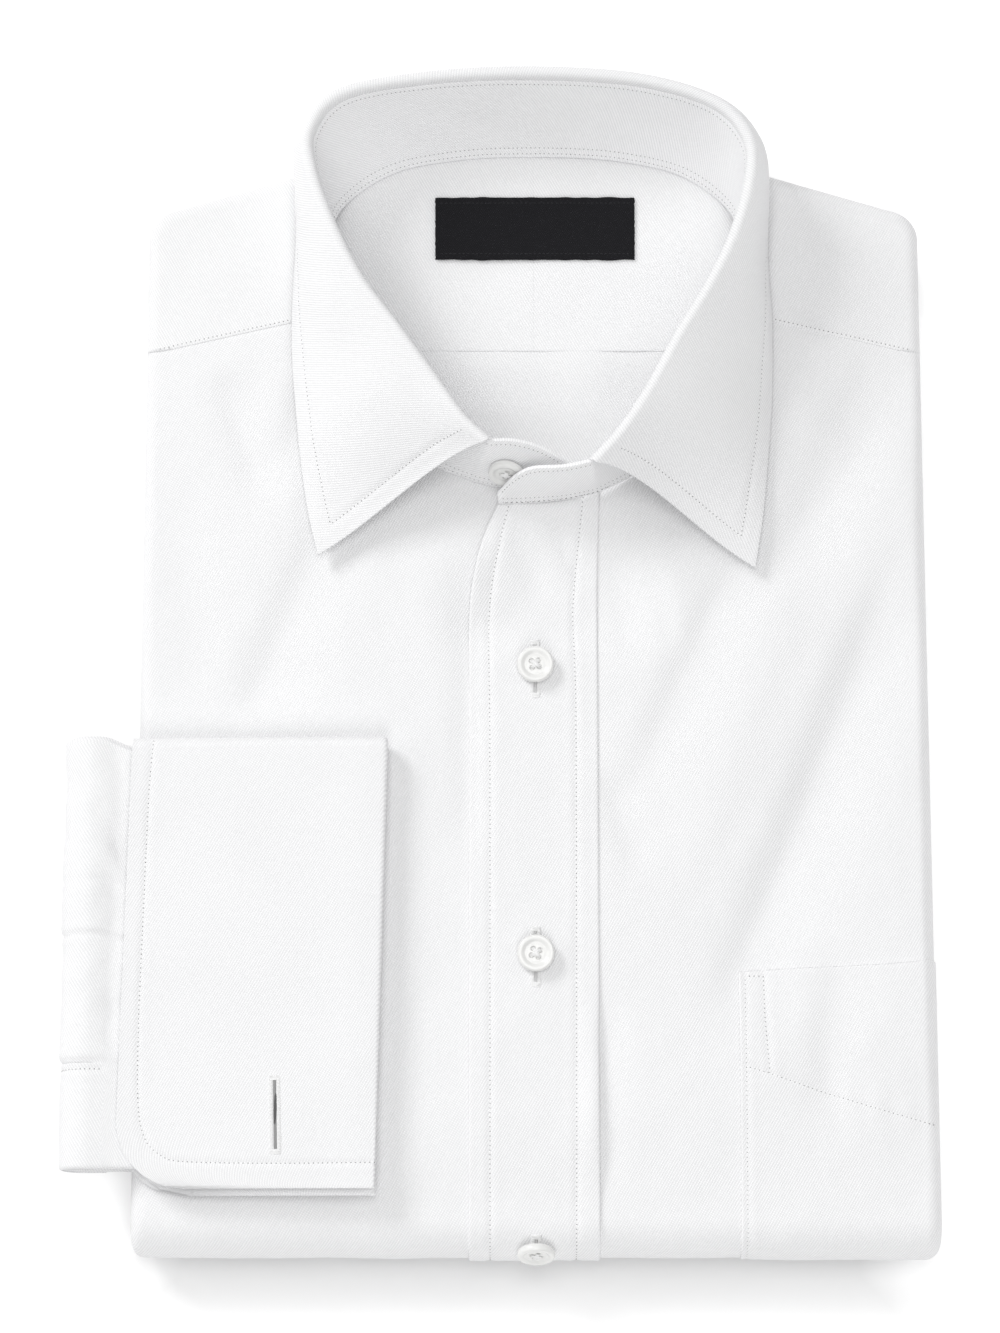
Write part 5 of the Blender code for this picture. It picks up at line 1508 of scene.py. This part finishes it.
def cuff_along():
    """Places along the arm, from the sleeve seam, round the turn, and back to the free edge: x, distance
    from the cuff's middle, and shares that rise to 1 at the free edge and at the hidden one."""
    turn_x = CUFF_TURN_X - 2.0
    inner_x = np.linspace(CUFF_SEAM_X, turn_x, 24)
    turn = np.linspace(-math.pi / 2, math.pi / 2, 11)[1:-1]
    outer = spans((0.0, 0.84, 0.885, 0.945, 1.0), (55, 5, 12, 9))
    square = np.sign(np.sin(turn)) * np.abs(np.sin(turn)) ** 0.8
    x = np.concatenate((inner_x, turn_x + CUFF_HALF * np.cos(turn) ** 0.45,
                        turn_x + (CUFF_EDGE_X - turn_x) * outer))
    reach = np.concatenate((np.full(len(inner_x), CUFF_INNER), CUFF_MIDDLE + CUFF_HALF * square,
                            np.full(len(outer), CUFF_OUTER)))
    free = np.concatenate((np.zeros(len(inner_x) + len(turn)), outer))
    hidden = np.concatenate((np.linspace(1.0, 0.0, len(inner_x)), np.zeros(len(turn) + len(outer))))
    return x, reach, free, hidden


def cuff_grid():
    """The cuff's doubled surface: places round the arm by places along it, with rounded corners."""
    y, facing = cuff_round()
    x, reach, free, hidden = cuff_along()
    along_cuff = np.append(0.0, np.cumsum(np.abs(np.diff(x)) + 0.02))
    round_it = np.append(0.0, np.cumsum(np.hypot(np.diff(y), CUFF_OUTER * np.diff(facing))))
    y, facing = y[:, None], facing[:, None]
    end_distance = y - np.where(facing > math.pi / 2, CUFF_UNDER_Y, CUFF_BOTTOM_Y)
    near = np.clip(1.0 - end_distance / CUFF_CORNER, 0.0, 1.0)
    cut = CUFF_CORNER * (1.0 - np.sqrt(1.0 - near ** 2))
    hidden_cut = np.maximum(cut - (CUFF_SEAM_X - CUFF_EDGE_X) + 2.0, 0.0)
    x = x + cut * free ** 2 + hidden_cut * hidden ** 2 + CUFF_LEAN * (y - CUFF_TOP_Y)
    upper = np.clip((reach - CUFF_MIDDLE) / CUFF_HALF, 0.0, 1.0) * np.maximum(np.cos(facing), 0.0)
    z = cuff_level(x) + reach * np.cos(facing) + cuff_relief(x, y) * upper
    points = as_points(x, y + reach * np.sin(facing), z)
    return turned(points, as_points(along_cuff, round_it[:, None]), -30, -30, UP)


def on_cuff(x, y):
    """Points on the upper face of the cuff above plan places, down the round of its top fold as well."""
    reach = CUFF_OUTER + CUFF_THICK / 2
    past = np.clip(y - CUFF_TOP_Y + CUFF_OUTER, 0.0, reach * 0.96)
    rise = np.sqrt(reach ** 2 - past ** 2)
    return as_points(x, y, cuff_level(x) + rise + cuff_relief(x, y) * rise / reach)


def cuff(finish):
    """The turned-back cuff as a shell about its doubled surface, with its stitch row and buttonhole."""
    points, flat = cuff_grid()
    made = doubled_piece("french_cuff", points, flat, CUFF_THICK, finish)
    sewing, slit_shades, dark_slit_shade = Sewing(), Sewing(), Sewing()
    row = on_cuff(*resample(smooth_rows(CUFF_STITCHES, 200), 1.0).T)
    sewing.line(row, upright(row), 75)
    hole_x, upper_y, lower_y = CUFF_HOLE
    hole_y = np.arange(lower_y + 0.4, upper_y - 0.4, WHIP_PITCH)
    hole = on_cuff(hole_x - CUFF_LEAN * (hole_y - hole_y.mean()), hole_y)
    buttonhole(sewing, slit_shades, hole, upright(hole), 0.9, 78, 3.8)
    # a dark strip of painted shade inside the cut slit
    middle = hole[len(hole) // 2] + np.array(((0.0, 1.4, 0.12),))
    dark_slit_shade.place(middle, np.array(((-CUFF_LEAN, 1.0, 0.0),)), upright(middle), 11.5, 0.95, 0.3)
    stitches = sewing.made("cuff_stitches")
    cuts = slit_shades.made("cuff_buttonhole", "needle_hole") + dark_slit_shade.made("cuff_buttonhole_core", "buttonhole_slit")
    declare(flat, stitches + cuts)


# ---------------------------------------------------------------- hidden layers

def layer_slab(number, low, high, half, start, end):
    """One hidden slab, and the map of its cloth: a rounded box carried from end to end.

    Across goes with the fifth root of the cosine and height with the sine; the height closes at the
    ends, and the width keeps inside the corners of the shoulders.
    """
    turn = np.linspace(0.0, 2 * math.pi, LAYER_COLUMNS + 1)
    across = np.sign(np.cos(turn[:-1])) * np.abs(np.cos(turn[:-1])) ** 0.2
    rise = np.sign(np.sin(turn[:-1])) * np.abs(np.sin(turn[:-1])) ** 0.9
    ends = np.linspace(-1.0, 1.0, LAYER_ROWS)[:, None]
    close = 0.06 + 0.94 * np.sqrt(np.clip(1.0 - np.abs(ends) ** 40, 0.0, 1.0))
    y = np.linspace(start, end, LAYER_ROWS)[:, None]
    corner_side, corner_y, _ = shoulder_corner()
    past = np.clip(y - corner_y, 0.0, None)
    room = corner_side + np.sqrt(np.clip(25.0 - np.minimum(past, 4.9) ** 2, 0.0, None))
    room = room - np.clip(past - 4.5, 0.0, None) * 3.2
    side = np.minimum(half + 0.9 * ripples(y, 0.0 * y, number + 80, 45.0), room) * across
    z = (high + low) / 2 + (high - low) / 2 * close * rise + 0.12 * ripples(side, y, number + 90, 60.0)
    return as_points(MIDDLE_X + side, y, np.minimum(z, LAYER_TOP_Z)), as_points(turn * half * 0.64, y)


def folded_layers(finish):
    """The back, sides and left sleeve inside: a stack of thin slabs with round sides and closed ends."""
    slabs = [layer_slab(number, *layer) for number, layer in enumerate(LAYERS)]
    points = np.vstack([grid.reshape(-1, 3) for grid, cloth in slabs])
    flat = np.vstack([cloth.reshape(-1, 2) for grid, cloth in slabs])
    quads = grid_quads(LAYER_ROWS, LAYER_COLUMNS, True)[:, ::-1]
    flat_quads = grid_quads(LAYER_ROWS, LAYER_COLUMNS + 1)[:, ::-1]
    starts = range(0, len(points), LAYER_ROWS * LAYER_COLUMNS)
    flat_starts = range(0, len(flat), LAYER_ROWS * (LAYER_COLUMNS + 1))
    caps = []
    for start in starts:
        last = start + (LAYER_ROWS - 1) * LAYER_COLUMNS
        caps += [range(start, start + LAYER_COLUMNS)[::-1], range(last, last + LAYER_COLUMNS)]
    faces = [*np.vstack([quads + start for start in starts]), *caps]
    corners = np.vstack([flat_quads + start for start in flat_starts]).ravel()
    corners = np.concatenate((corners, len(flat) + np.concatenate(caps)))
    made = new_mesh("folded_layers_cloth", points, faces, finish,
                    np.vstack((flat, points[:, ::2])), corners)
    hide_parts("folded_layers")
    area = sum(2.0 * half * (end - start) for low, high, half, start, end in LAYERS) * MM * MM
    area / LAYERS_FLAT_WIDTH


# ---------------------------------------------------------------- buttons

def button_grid():
    """A button as rings from the middle of its face, over the round rim, to the middle of its back.

    The face is dished inside the rim, and four holes go down from it as narrow wells.
    """
    rim = np.linspace(0.0, math.pi, 9)[1:-1]
    face = np.concatenate((np.linspace(0.02, 3.9, 40), np.linspace(4.0, 5.1, 12)))
    radius = np.concatenate((face, BUTTON_RADIUS - BUTTON_ROUND + BUTTON_ROUND * np.sin(rim),
                             np.linspace(5.1, 0.02, 8)))[:, None]
    raised = BUTTON_DISH * ease((face - 3.2) / 1.4) - 0.08 * bell(face - 3.2, 0.5)
    height = np.concatenate((BUTTON_THICK - BUTTON_DISH + raised, BUTTON_THICK / 2 * (1.0 + np.cos(rim)),
                             np.zeros(8)))[:, None]
    turn = np.linspace(0.0, 2 * math.pi, 73)[:-1]
    x, y = radius * np.cos(turn), radius * np.sin(turn)
    wells = 0.0
    for angle in np.radians((45.0, 135.0, 225.0, 315.0)):
        gap = np.hypot(x - BUTTON_HOLES_AT * math.cos(angle), y - BUTTON_HOLES_AT * math.sin(angle))
        wells = np.maximum(wells, 1.0 - ease((gap - 0.55) / 0.35))
    on_face = np.arange(len(radius))[:, None] < len(face)
    return as_points(x, y, height - 0.5 * wells * on_face)


def frame_at(normal, turn):
    """Two directions across a normal and the normal itself, turned about it."""
    normal = unit(normal)
    first = unit(np.cross((0.0, 1.0, 0.0), normal))
    second = np.cross(normal, first)
    return np.array((first * math.cos(turn) + second * math.sin(turn),
                     second * math.cos(turn) - first * math.sin(turn), normal))


def button(name, spot, normal, turn, drop, finish):
    """A button on its spot, and its thread: stitches over the holes and a wound shank below it."""
    axes = frame_at(normal, turn)
    grid = button_grid() @ axes + spot
    rows, columns = grid.shape[:2]
    last = (rows - 1) * columns
    faces = [*grid_quads(rows, columns, True), range(columns), range(last, last + columns)[::-1]]
    made = new_mesh(name + "_shell", grid, faces, finish)
    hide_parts(name)
    sewing = Sewing()
    for layer, angle in enumerate((math.pi / 4, 3 * math.pi / 4)):
        way = np.array(((math.cos(angle), math.sin(angle), 0.0),)) @ axes
        for shift in (-0.32, 0.0, 0.32):
            centre = (-shift * math.sin(angle), shift * math.cos(angle), BUTTON_THICK - 0.42 + 0.14 * layer)
            sewing.place(np.array((centre,)) @ axes + spot, way, axes[2:], 3.9, 0.42, 0.6, 5)
    for level in np.arange(-0.1, -drop, -0.3):
        for angle in np.linspace(0.0, math.pi, 5)[:-1]:
            way = np.array(((math.cos(angle), math.sin(angle), 0.0),)) @ axes
            sewing.place(level * axes[2:] + spot, way, axes[2:], 3.2, 1.6, 0.5, 5)
    sewing.made(name + "_thread", slot=SHELL_SLOT)


def buttonhole(sewing, slit_shades, line, normal, slit, seed, width=BUTTONHOLE_WIDTH):
    """A worked buttonhole along a line on the cloth: two close rows of short stitches across it, a bar
    at each end, and between them a slit drawn as a strip of painted shade."""
    way = unit(np.gradient(line, axis=0))
    across = np.cross(normal, way)
    for side in (-1.0, 1.0):
        sewing.place(line + across * side * width * 0.29, across * side + way * 0.12, normal, width * 0.38,
                     0.5, 0.75, seed + int(side), 0.02)
    for end, out in ((0, -1.0), (-1, 1.0)):
        spots = line[end] + way[end] * (out * np.linspace(-0.2, 0.9, 4)[:, None])
        ways, normals = np.tile(across[end], (4, 1)), np.tile(normal[end], (4, 1))
        sewing.place(spots, ways, normals, width * 0.94, 0.5, 0.7, seed + 7)
    slit_shades.place(line[1:-1] + normal[1:-1] * 0.06, way[1:-1], normal[1:-1], 1.1, slit, 0.3)


def buttons(finish):
    """The buttons down the placket, the one on the turn, and the one on the right end of the stand."""
    middle = np.array([MIDDLE_X + BUTTON_ASIDE])
    for number, along in enumerate(button_alongs(), start=1):
        height = HALF_ARM + BUTTON_BACK
        if number < 3:
            y = PATH_START_Y - along
            height = height + float(crown(BUTTON_ASIDE, y) + fold_height(np.array(BUTTON_ASIDE), y))
        spots, outward = strip_spots(middle, np.array([along]), np.array([height]))
        normal = outward[0]
        if number == 3:
            angle = TURN_BUTTON_ANGLE + TURN_BUTTON_TILT
            normal = np.array((0.0, -math.sin(angle), math.cos(angle)))
        button(f"button_{number}", spots[0], normal, BUTTON_TURNS[number - 1], 0.9, finish)
    (foot, top), (next_foot, _) = np.array(RIGHT_TAB[:2]).reshape(2, 2, 3)
    normal = unit(np.cross(next_foot - np.array(COLLAR[0][:3]), top - foot))
    spot = foot + (top - foot) * COLLAR_BUTTON_SHARE + normal * (STAND_WALL / 2 + COLLAR_SHANK)
    button("button_collar", spot, normal, 0.2, 0.6, finish)


# ---------------------------------------------------------------- sizes and colours

def colour_property(name, description, value):
    return bpy.props.FloatVectorProperty(name=name, description=description, default=value, subtype="COLOR",
                                         size=3, min=0.0, max=1.0)


def length_property(name, description, value):
    return bpy.props.FloatProperty(name=name, description=description, default=value, unit="LENGTH",
                                   precision=5, min=0.0)


class ShirtColours(bpy.types.PropertyGroup):
    """Colours of the cloth, sewing, buttons, label and floor."""

    cloth: colour_property("Cloth", "White of the shirting where it is lightest", (0.955, 0.955, 0.96))
    # painted shade between the twill's ribs, and the dark end of the random slub tone
    cloth_shade: colour_property("Cloth Shade", "White between the shirting's ribs", (0.73, 0.73, 0.74))
    thread: colour_property("Thread", "Sewing thread of seams and buttonholes", (0.93, 0.93, 0.93))
    # painted shade inside a cut buttonhole
    slit: colour_property("Buttonhole Slit", "Dark inside of a cut buttonhole", (0.10, 0.10, 0.10))
    closed_slit: colour_property("Closed Slit", "Shade in a closed buttonhole", (0.62, 0.62, 0.62))
    hole: colour_property("Needle Hole", "Shade in the holes between stitches", (0.30, 0.30, 0.30))
    shell: colour_property("Shell", "Light tone of the button shell", (0.98, 0.98, 0.98))
    shell_shade: colour_property("Shell Shade", "Grey tone of the button shell", (0.94, 0.94, 0.945))
    label: colour_property("Label", "Ground of the woven label", (0.005, 0.005, 0.006))
    label_rib: colour_property("Label Ribs", "Raised ribs of the woven label", (0.018, 0.018, 0.021))
    label_thread: colour_property("Label Thread", "Thread that holds the label", (0.012, 0.012, 0.015))
    floor: colour_property("Floor", "Paper that the shirt lies on", (0.86, 0.86, 0.86))


class ShirtSizes(bpy.types.PropertyGroup):
    """Sizes of the weave, the sewing and the folds."""

    weave_pitch: length_property("Weave Pitch", "Distance between the ribs of the twill", 0.00078)
    stitch_pitch: length_property("Stitch Pitch", "Distance from stitch to stitch", 0.0014)
    stitch_length: length_property("Stitch Length", "Length of one stitch's bead", 0.00105)
    stitch_width: length_property("Stitch Width", "Thickness of the sewing thread", 0.00036)
    fold_depth: bpy.props.FloatProperty(name="Fold Depth", description="Depth of the folds, as a share",
                                        default=1.0, min=0.0, max=1.5, subtype="FACTOR")


class ShirtStage(bpy.types.PropertyGroup):
    """Camera and light."""

    tilt: bpy.props.FloatProperty(name="Camera Tilt", description="Angle of the camera from straight above",
                                  default=math.radians(12.0), subtype="ANGLE")
    distance: length_property("Camera Distance", "From the camera to the middle of the shirt", 1.2)
    frame_height: length_property("Frame Height", "Height of the view at that distance", 0.31 * 1.333)
    light: bpy.props.FloatProperty(name="Light", description="Power of all the lamps, as a share",
                                   default=1.05, min=0.0, max=4.0, subtype="FACTOR")
    world: bpy.props.FloatProperty(name="Surroundings", description="Strength of the light all round",
                                   default=0.44, min=0.0)


# ---------------------------------------------------------------- operators

class ShirtOperator:
    """What the operators share: the finishes they ask for."""

    bl_options = {"REGISTER", "UNDO"}

    def rising(self):
        return cotton_for("shirting_rising", -1.0)

    def falling(self):
        return cotton_for("shirting_falling", 1.0)


class SHIRT_OT_hidden_layers(ShirtOperator, bpy.types.Operator):
    """Makes the folded back, sides and left sleeve inside"""

    bl_idname = "shirt.hidden_layers"
    bl_label = "Hidden Layers"

    def execute(self, context):
        folded_layers(self.falling())
        return {"FINISHED"}


class SHIRT_OT_fronts(ShirtOperator, bpy.types.Operator):
    """Makes the two fronts, round the sides and the turn"""

    bl_idname = "shirt.fronts"
    bl_label = "Fronts"

    def execute(self, context):
        front("front_right", -1.0, self.rising())
        front("front_left", 1.0, self.rising())
        return {"FINISHED"}


class SHIRT_OT_yokes(ShirtOperator, bpy.types.Operator):
    """Makes the two halves of the outer yoke"""

    bl_idname = "shirt.yokes"
    bl_label = "Yokes"

    def execute(self, context):
        yoke("yoke_right", -1.0, self.falling())
        yoke("yoke_left", 1.0, self.rising())
        return {"FINISHED"}


class SHIRT_OT_placket(ShirtOperator, bpy.types.Operator):
    """Makes the front placket with its stitch rows and buttonholes"""

    bl_idname = "shirt.placket"
    bl_label = "Placket"

    def execute(self, context):
        placket(self.rising())
        return {"FINISHED"}


class SHIRT_OT_pocket(ShirtOperator, bpy.types.Operator):
    """Makes the chest pocket"""

    bl_idname = "shirt.pocket"
    bl_label = "Pocket"

    def execute(self, context):
        pocket(self.rising())
        return {"FINISHED"}


class SHIRT_OT_inner_neck(ShirtOperator, bpy.types.Operator):
    """Makes the inner yoke and the back panel that show in the neck"""

    bl_idname = "shirt.inner_neck"
    bl_label = "Inner Neck"

    def execute(self, context):
        inner_neck(self.falling())
        return {"FINISHED"}


class SHIRT_OT_label(ShirtOperator, bpy.types.Operator):
    """Makes the bare woven label"""

    bl_idname = "shirt.label"
    bl_label = "Label"

    def execute(self, context):
        colours = context.scene.shirt_colours
        woven = finish_named("woven_label", label_finish, colours.label, colours.label_rib)
        neck_label(woven)
        return {"FINISHED"}


class SHIRT_OT_stand(ShirtOperator, bpy.types.Operator):
    """Makes the collar stand"""

    bl_idname = "shirt.stand"
    bl_label = "Collar Stand"

    def execute(self, context):
        # the stand's cloth has a painted glow that lightens its inside
        collar_stand(cotton_for("shirting_stand", 1.0, STAND_PAINTED_GLOW))
        return {"FINISHED"}


class SHIRT_OT_leaf(ShirtOperator, bpy.types.Operator):
    """Makes the collar leaf"""

    bl_idname = "shirt.leaf"
    bl_label = "Collar Leaf"

    def execute(self, context):
        collar_leaf(self.falling())
        return {"FINISHED"}


class SHIRT_OT_sleeve(ShirtOperator, bpy.types.Operator):
    """Makes the right sleeve and the placket of its opening"""

    bl_idname = "shirt.sleeve"
    bl_label = "Sleeve"

    def execute(self, context):
        sleeve(self.falling())
        sleeve_placket(self.falling())
        return {"FINISHED"}


class SHIRT_OT_cuff(ShirtOperator, bpy.types.Operator):
    """Makes the turned-back cuff"""

    bl_idname = "shirt.cuff"
    bl_label = "Cuff"

    def execute(self, context):
        cuff(self.rising())
        return {"FINISHED"}


class SHIRT_OT_buttons(ShirtOperator, bpy.types.Operator):
    """Makes the buttons and their thread"""

    bl_idname = "shirt.buttons"
    bl_label = "Buttons"

    def execute(self, context):
        colours = context.scene.shirt_colours
        shell = finish_named("button_shell", shell_finish, colours.shell, colours.shell_shade)
        buttons(shell)
        return {"FINISHED"}


def lay_floor(scene):
    """The floor: a level grid, in metres."""
    steps = np.linspace(-FLOOR_HALF, FLOOR_HALF, FLOOR_ROWS)
    grid = as_points(steps, steps[::-1, None], 0.0)
    mesh = bpy.data.meshes.new("floor")
    mesh.from_pydata(grid.reshape(-1, 3).tolist(), [], grid_quads(FLOOR_ROWS, FLOOR_ROWS).tolist())
    mesh.materials.append(finish_named("floor_paper", floor_finish, scene.shirt_colours.floor))
    floor = bpy.data.objects.new("floor", mesh)
    scene.collection.objects.link(floor)


def set_camera(scene, stage):
    """The camera, leaning back from straight above the middle of the shirt."""
    camera = bpy.data.cameras.new("camera")
    camera.sensor_fit = "VERTICAL"
    camera.sensor_height = SENSOR_HEIGHT
    camera.lens = SENSOR_HEIGHT * stage.distance / stage.frame_height
    camera.clip_start = 0.05
    made = bpy.data.objects.new("camera", camera)
    made.location = VIEW_CENTRE + Vector((0.0, -math.sin(stage.tilt), math.cos(stage.tilt))) * stage.distance
    made.rotation_euler = (stage.tilt, 0.0, 0.0)
    scene.collection.objects.link(made)
    scene.camera = made


def set_light(scene, stage):
    """Square soft lamps turned to the shirt, and an even light all round it."""
    for name, x, y, z, size, power in LIGHTS:
        lamp = bpy.data.lights.new(name, "AREA")
        lamp.shape = "SQUARE"
        lamp.size = size
        lamp.energy = power * stage.light
        made = bpy.data.objects.new(name, lamp)
        made.location = (x, y, z)
        made.rotation_euler = (Vector() - Vector((x, y, z))).to_track_quat("-Z", "Y").to_euler()
        scene.collection.objects.link(made)
    scene.world = scene.world or bpy.data.worlds.new("surroundings")
    scene.world.use_nodes = True
    background = scene.world.node_tree.nodes["Background"]
    background.inputs["Color"].default_value = (1.0, 1.0, 1.0, 1.0)
    background.inputs["Strength"].default_value = stage.world
    scene.view_settings.view_transform = "Standard"


class SHIRT_OT_stage(ShirtOperator, bpy.types.Operator):
    """Makes the floor, the light and the camera"""

    bl_idname = "shirt.stage"
    bl_label = "Stage"

    def execute(self, context):
        lay_floor(context.scene)
        set_camera(context.scene, context.scene.shirt_stage)
        set_light(context.scene, context.scene.shirt_stage)
        return {"FINISHED"}


OPERATORS = (
    SHIRT_OT_hidden_layers, SHIRT_OT_fronts, SHIRT_OT_yokes, SHIRT_OT_placket, SHIRT_OT_pocket,
    SHIRT_OT_inner_neck, SHIRT_OT_label, SHIRT_OT_stand, SHIRT_OT_leaf, SHIRT_OT_sleeve, SHIRT_OT_cuff,
    SHIRT_OT_buttons, SHIRT_OT_stage,
)
GROUPS = (ShirtColours, ShirtSizes, ShirtStage)


class SHIRT_PT_panel(bpy.types.Panel):
    """The shirt's sizes, colours and pieces"""

    bl_idname = "SHIRT_PT_panel"
    bl_label = "Dress Shirt"
    bl_space_type = "VIEW_3D"
    bl_region_type = "UI"
    bl_category = "Shirt"

    def draw(self, context):
        for group in (context.scene.shirt_colours, context.scene.shirt_sizes, context.scene.shirt_stage):
            box = self.layout.box()
            for name in group.__annotations__:
                box.prop(group, name)
        for operator in OPERATORS:
            self.layout.operator(operator.bl_idname)


def register():
    for owner in (*GROUPS, *OPERATORS, SHIRT_PT_panel):
        bpy.utils.register_class(owner)
    bpy.types.Scene.shirt_colours = bpy.props.PointerProperty(type=ShirtColours)
    bpy.types.Scene.shirt_sizes = bpy.props.PointerProperty(type=ShirtSizes)
    bpy.types.Scene.shirt_stage = bpy.props.PointerProperty(type=ShirtStage)


def unregister():
    del bpy.types.Scene.shirt_stage
    del bpy.types.Scene.shirt_sizes
    del bpy.types.Scene.shirt_colours
    for owner in reversed((*GROUPS, *OPERATORS, SHIRT_PT_panel)):
        bpy.utils.unregister_class(owner)


def main():
    register()
    bpy.ops.shirt.hidden_layers()
    bpy.ops.shirt.fronts()
    bpy.ops.shirt.yokes()
    bpy.ops.shirt.placket()
    bpy.ops.shirt.pocket()
    bpy.ops.shirt.inner_neck()
    bpy.ops.shirt.label()
    bpy.ops.shirt.stand()
    bpy.ops.shirt.leaf()
    bpy.ops.shirt.sleeve()
    bpy.ops.shirt.cuff()
    bpy.ops.shirt.buttons()
    bpy.ops.shirt.stage()
    bpy.context.view_layer.update()


if __name__ == "__main__":
    main()
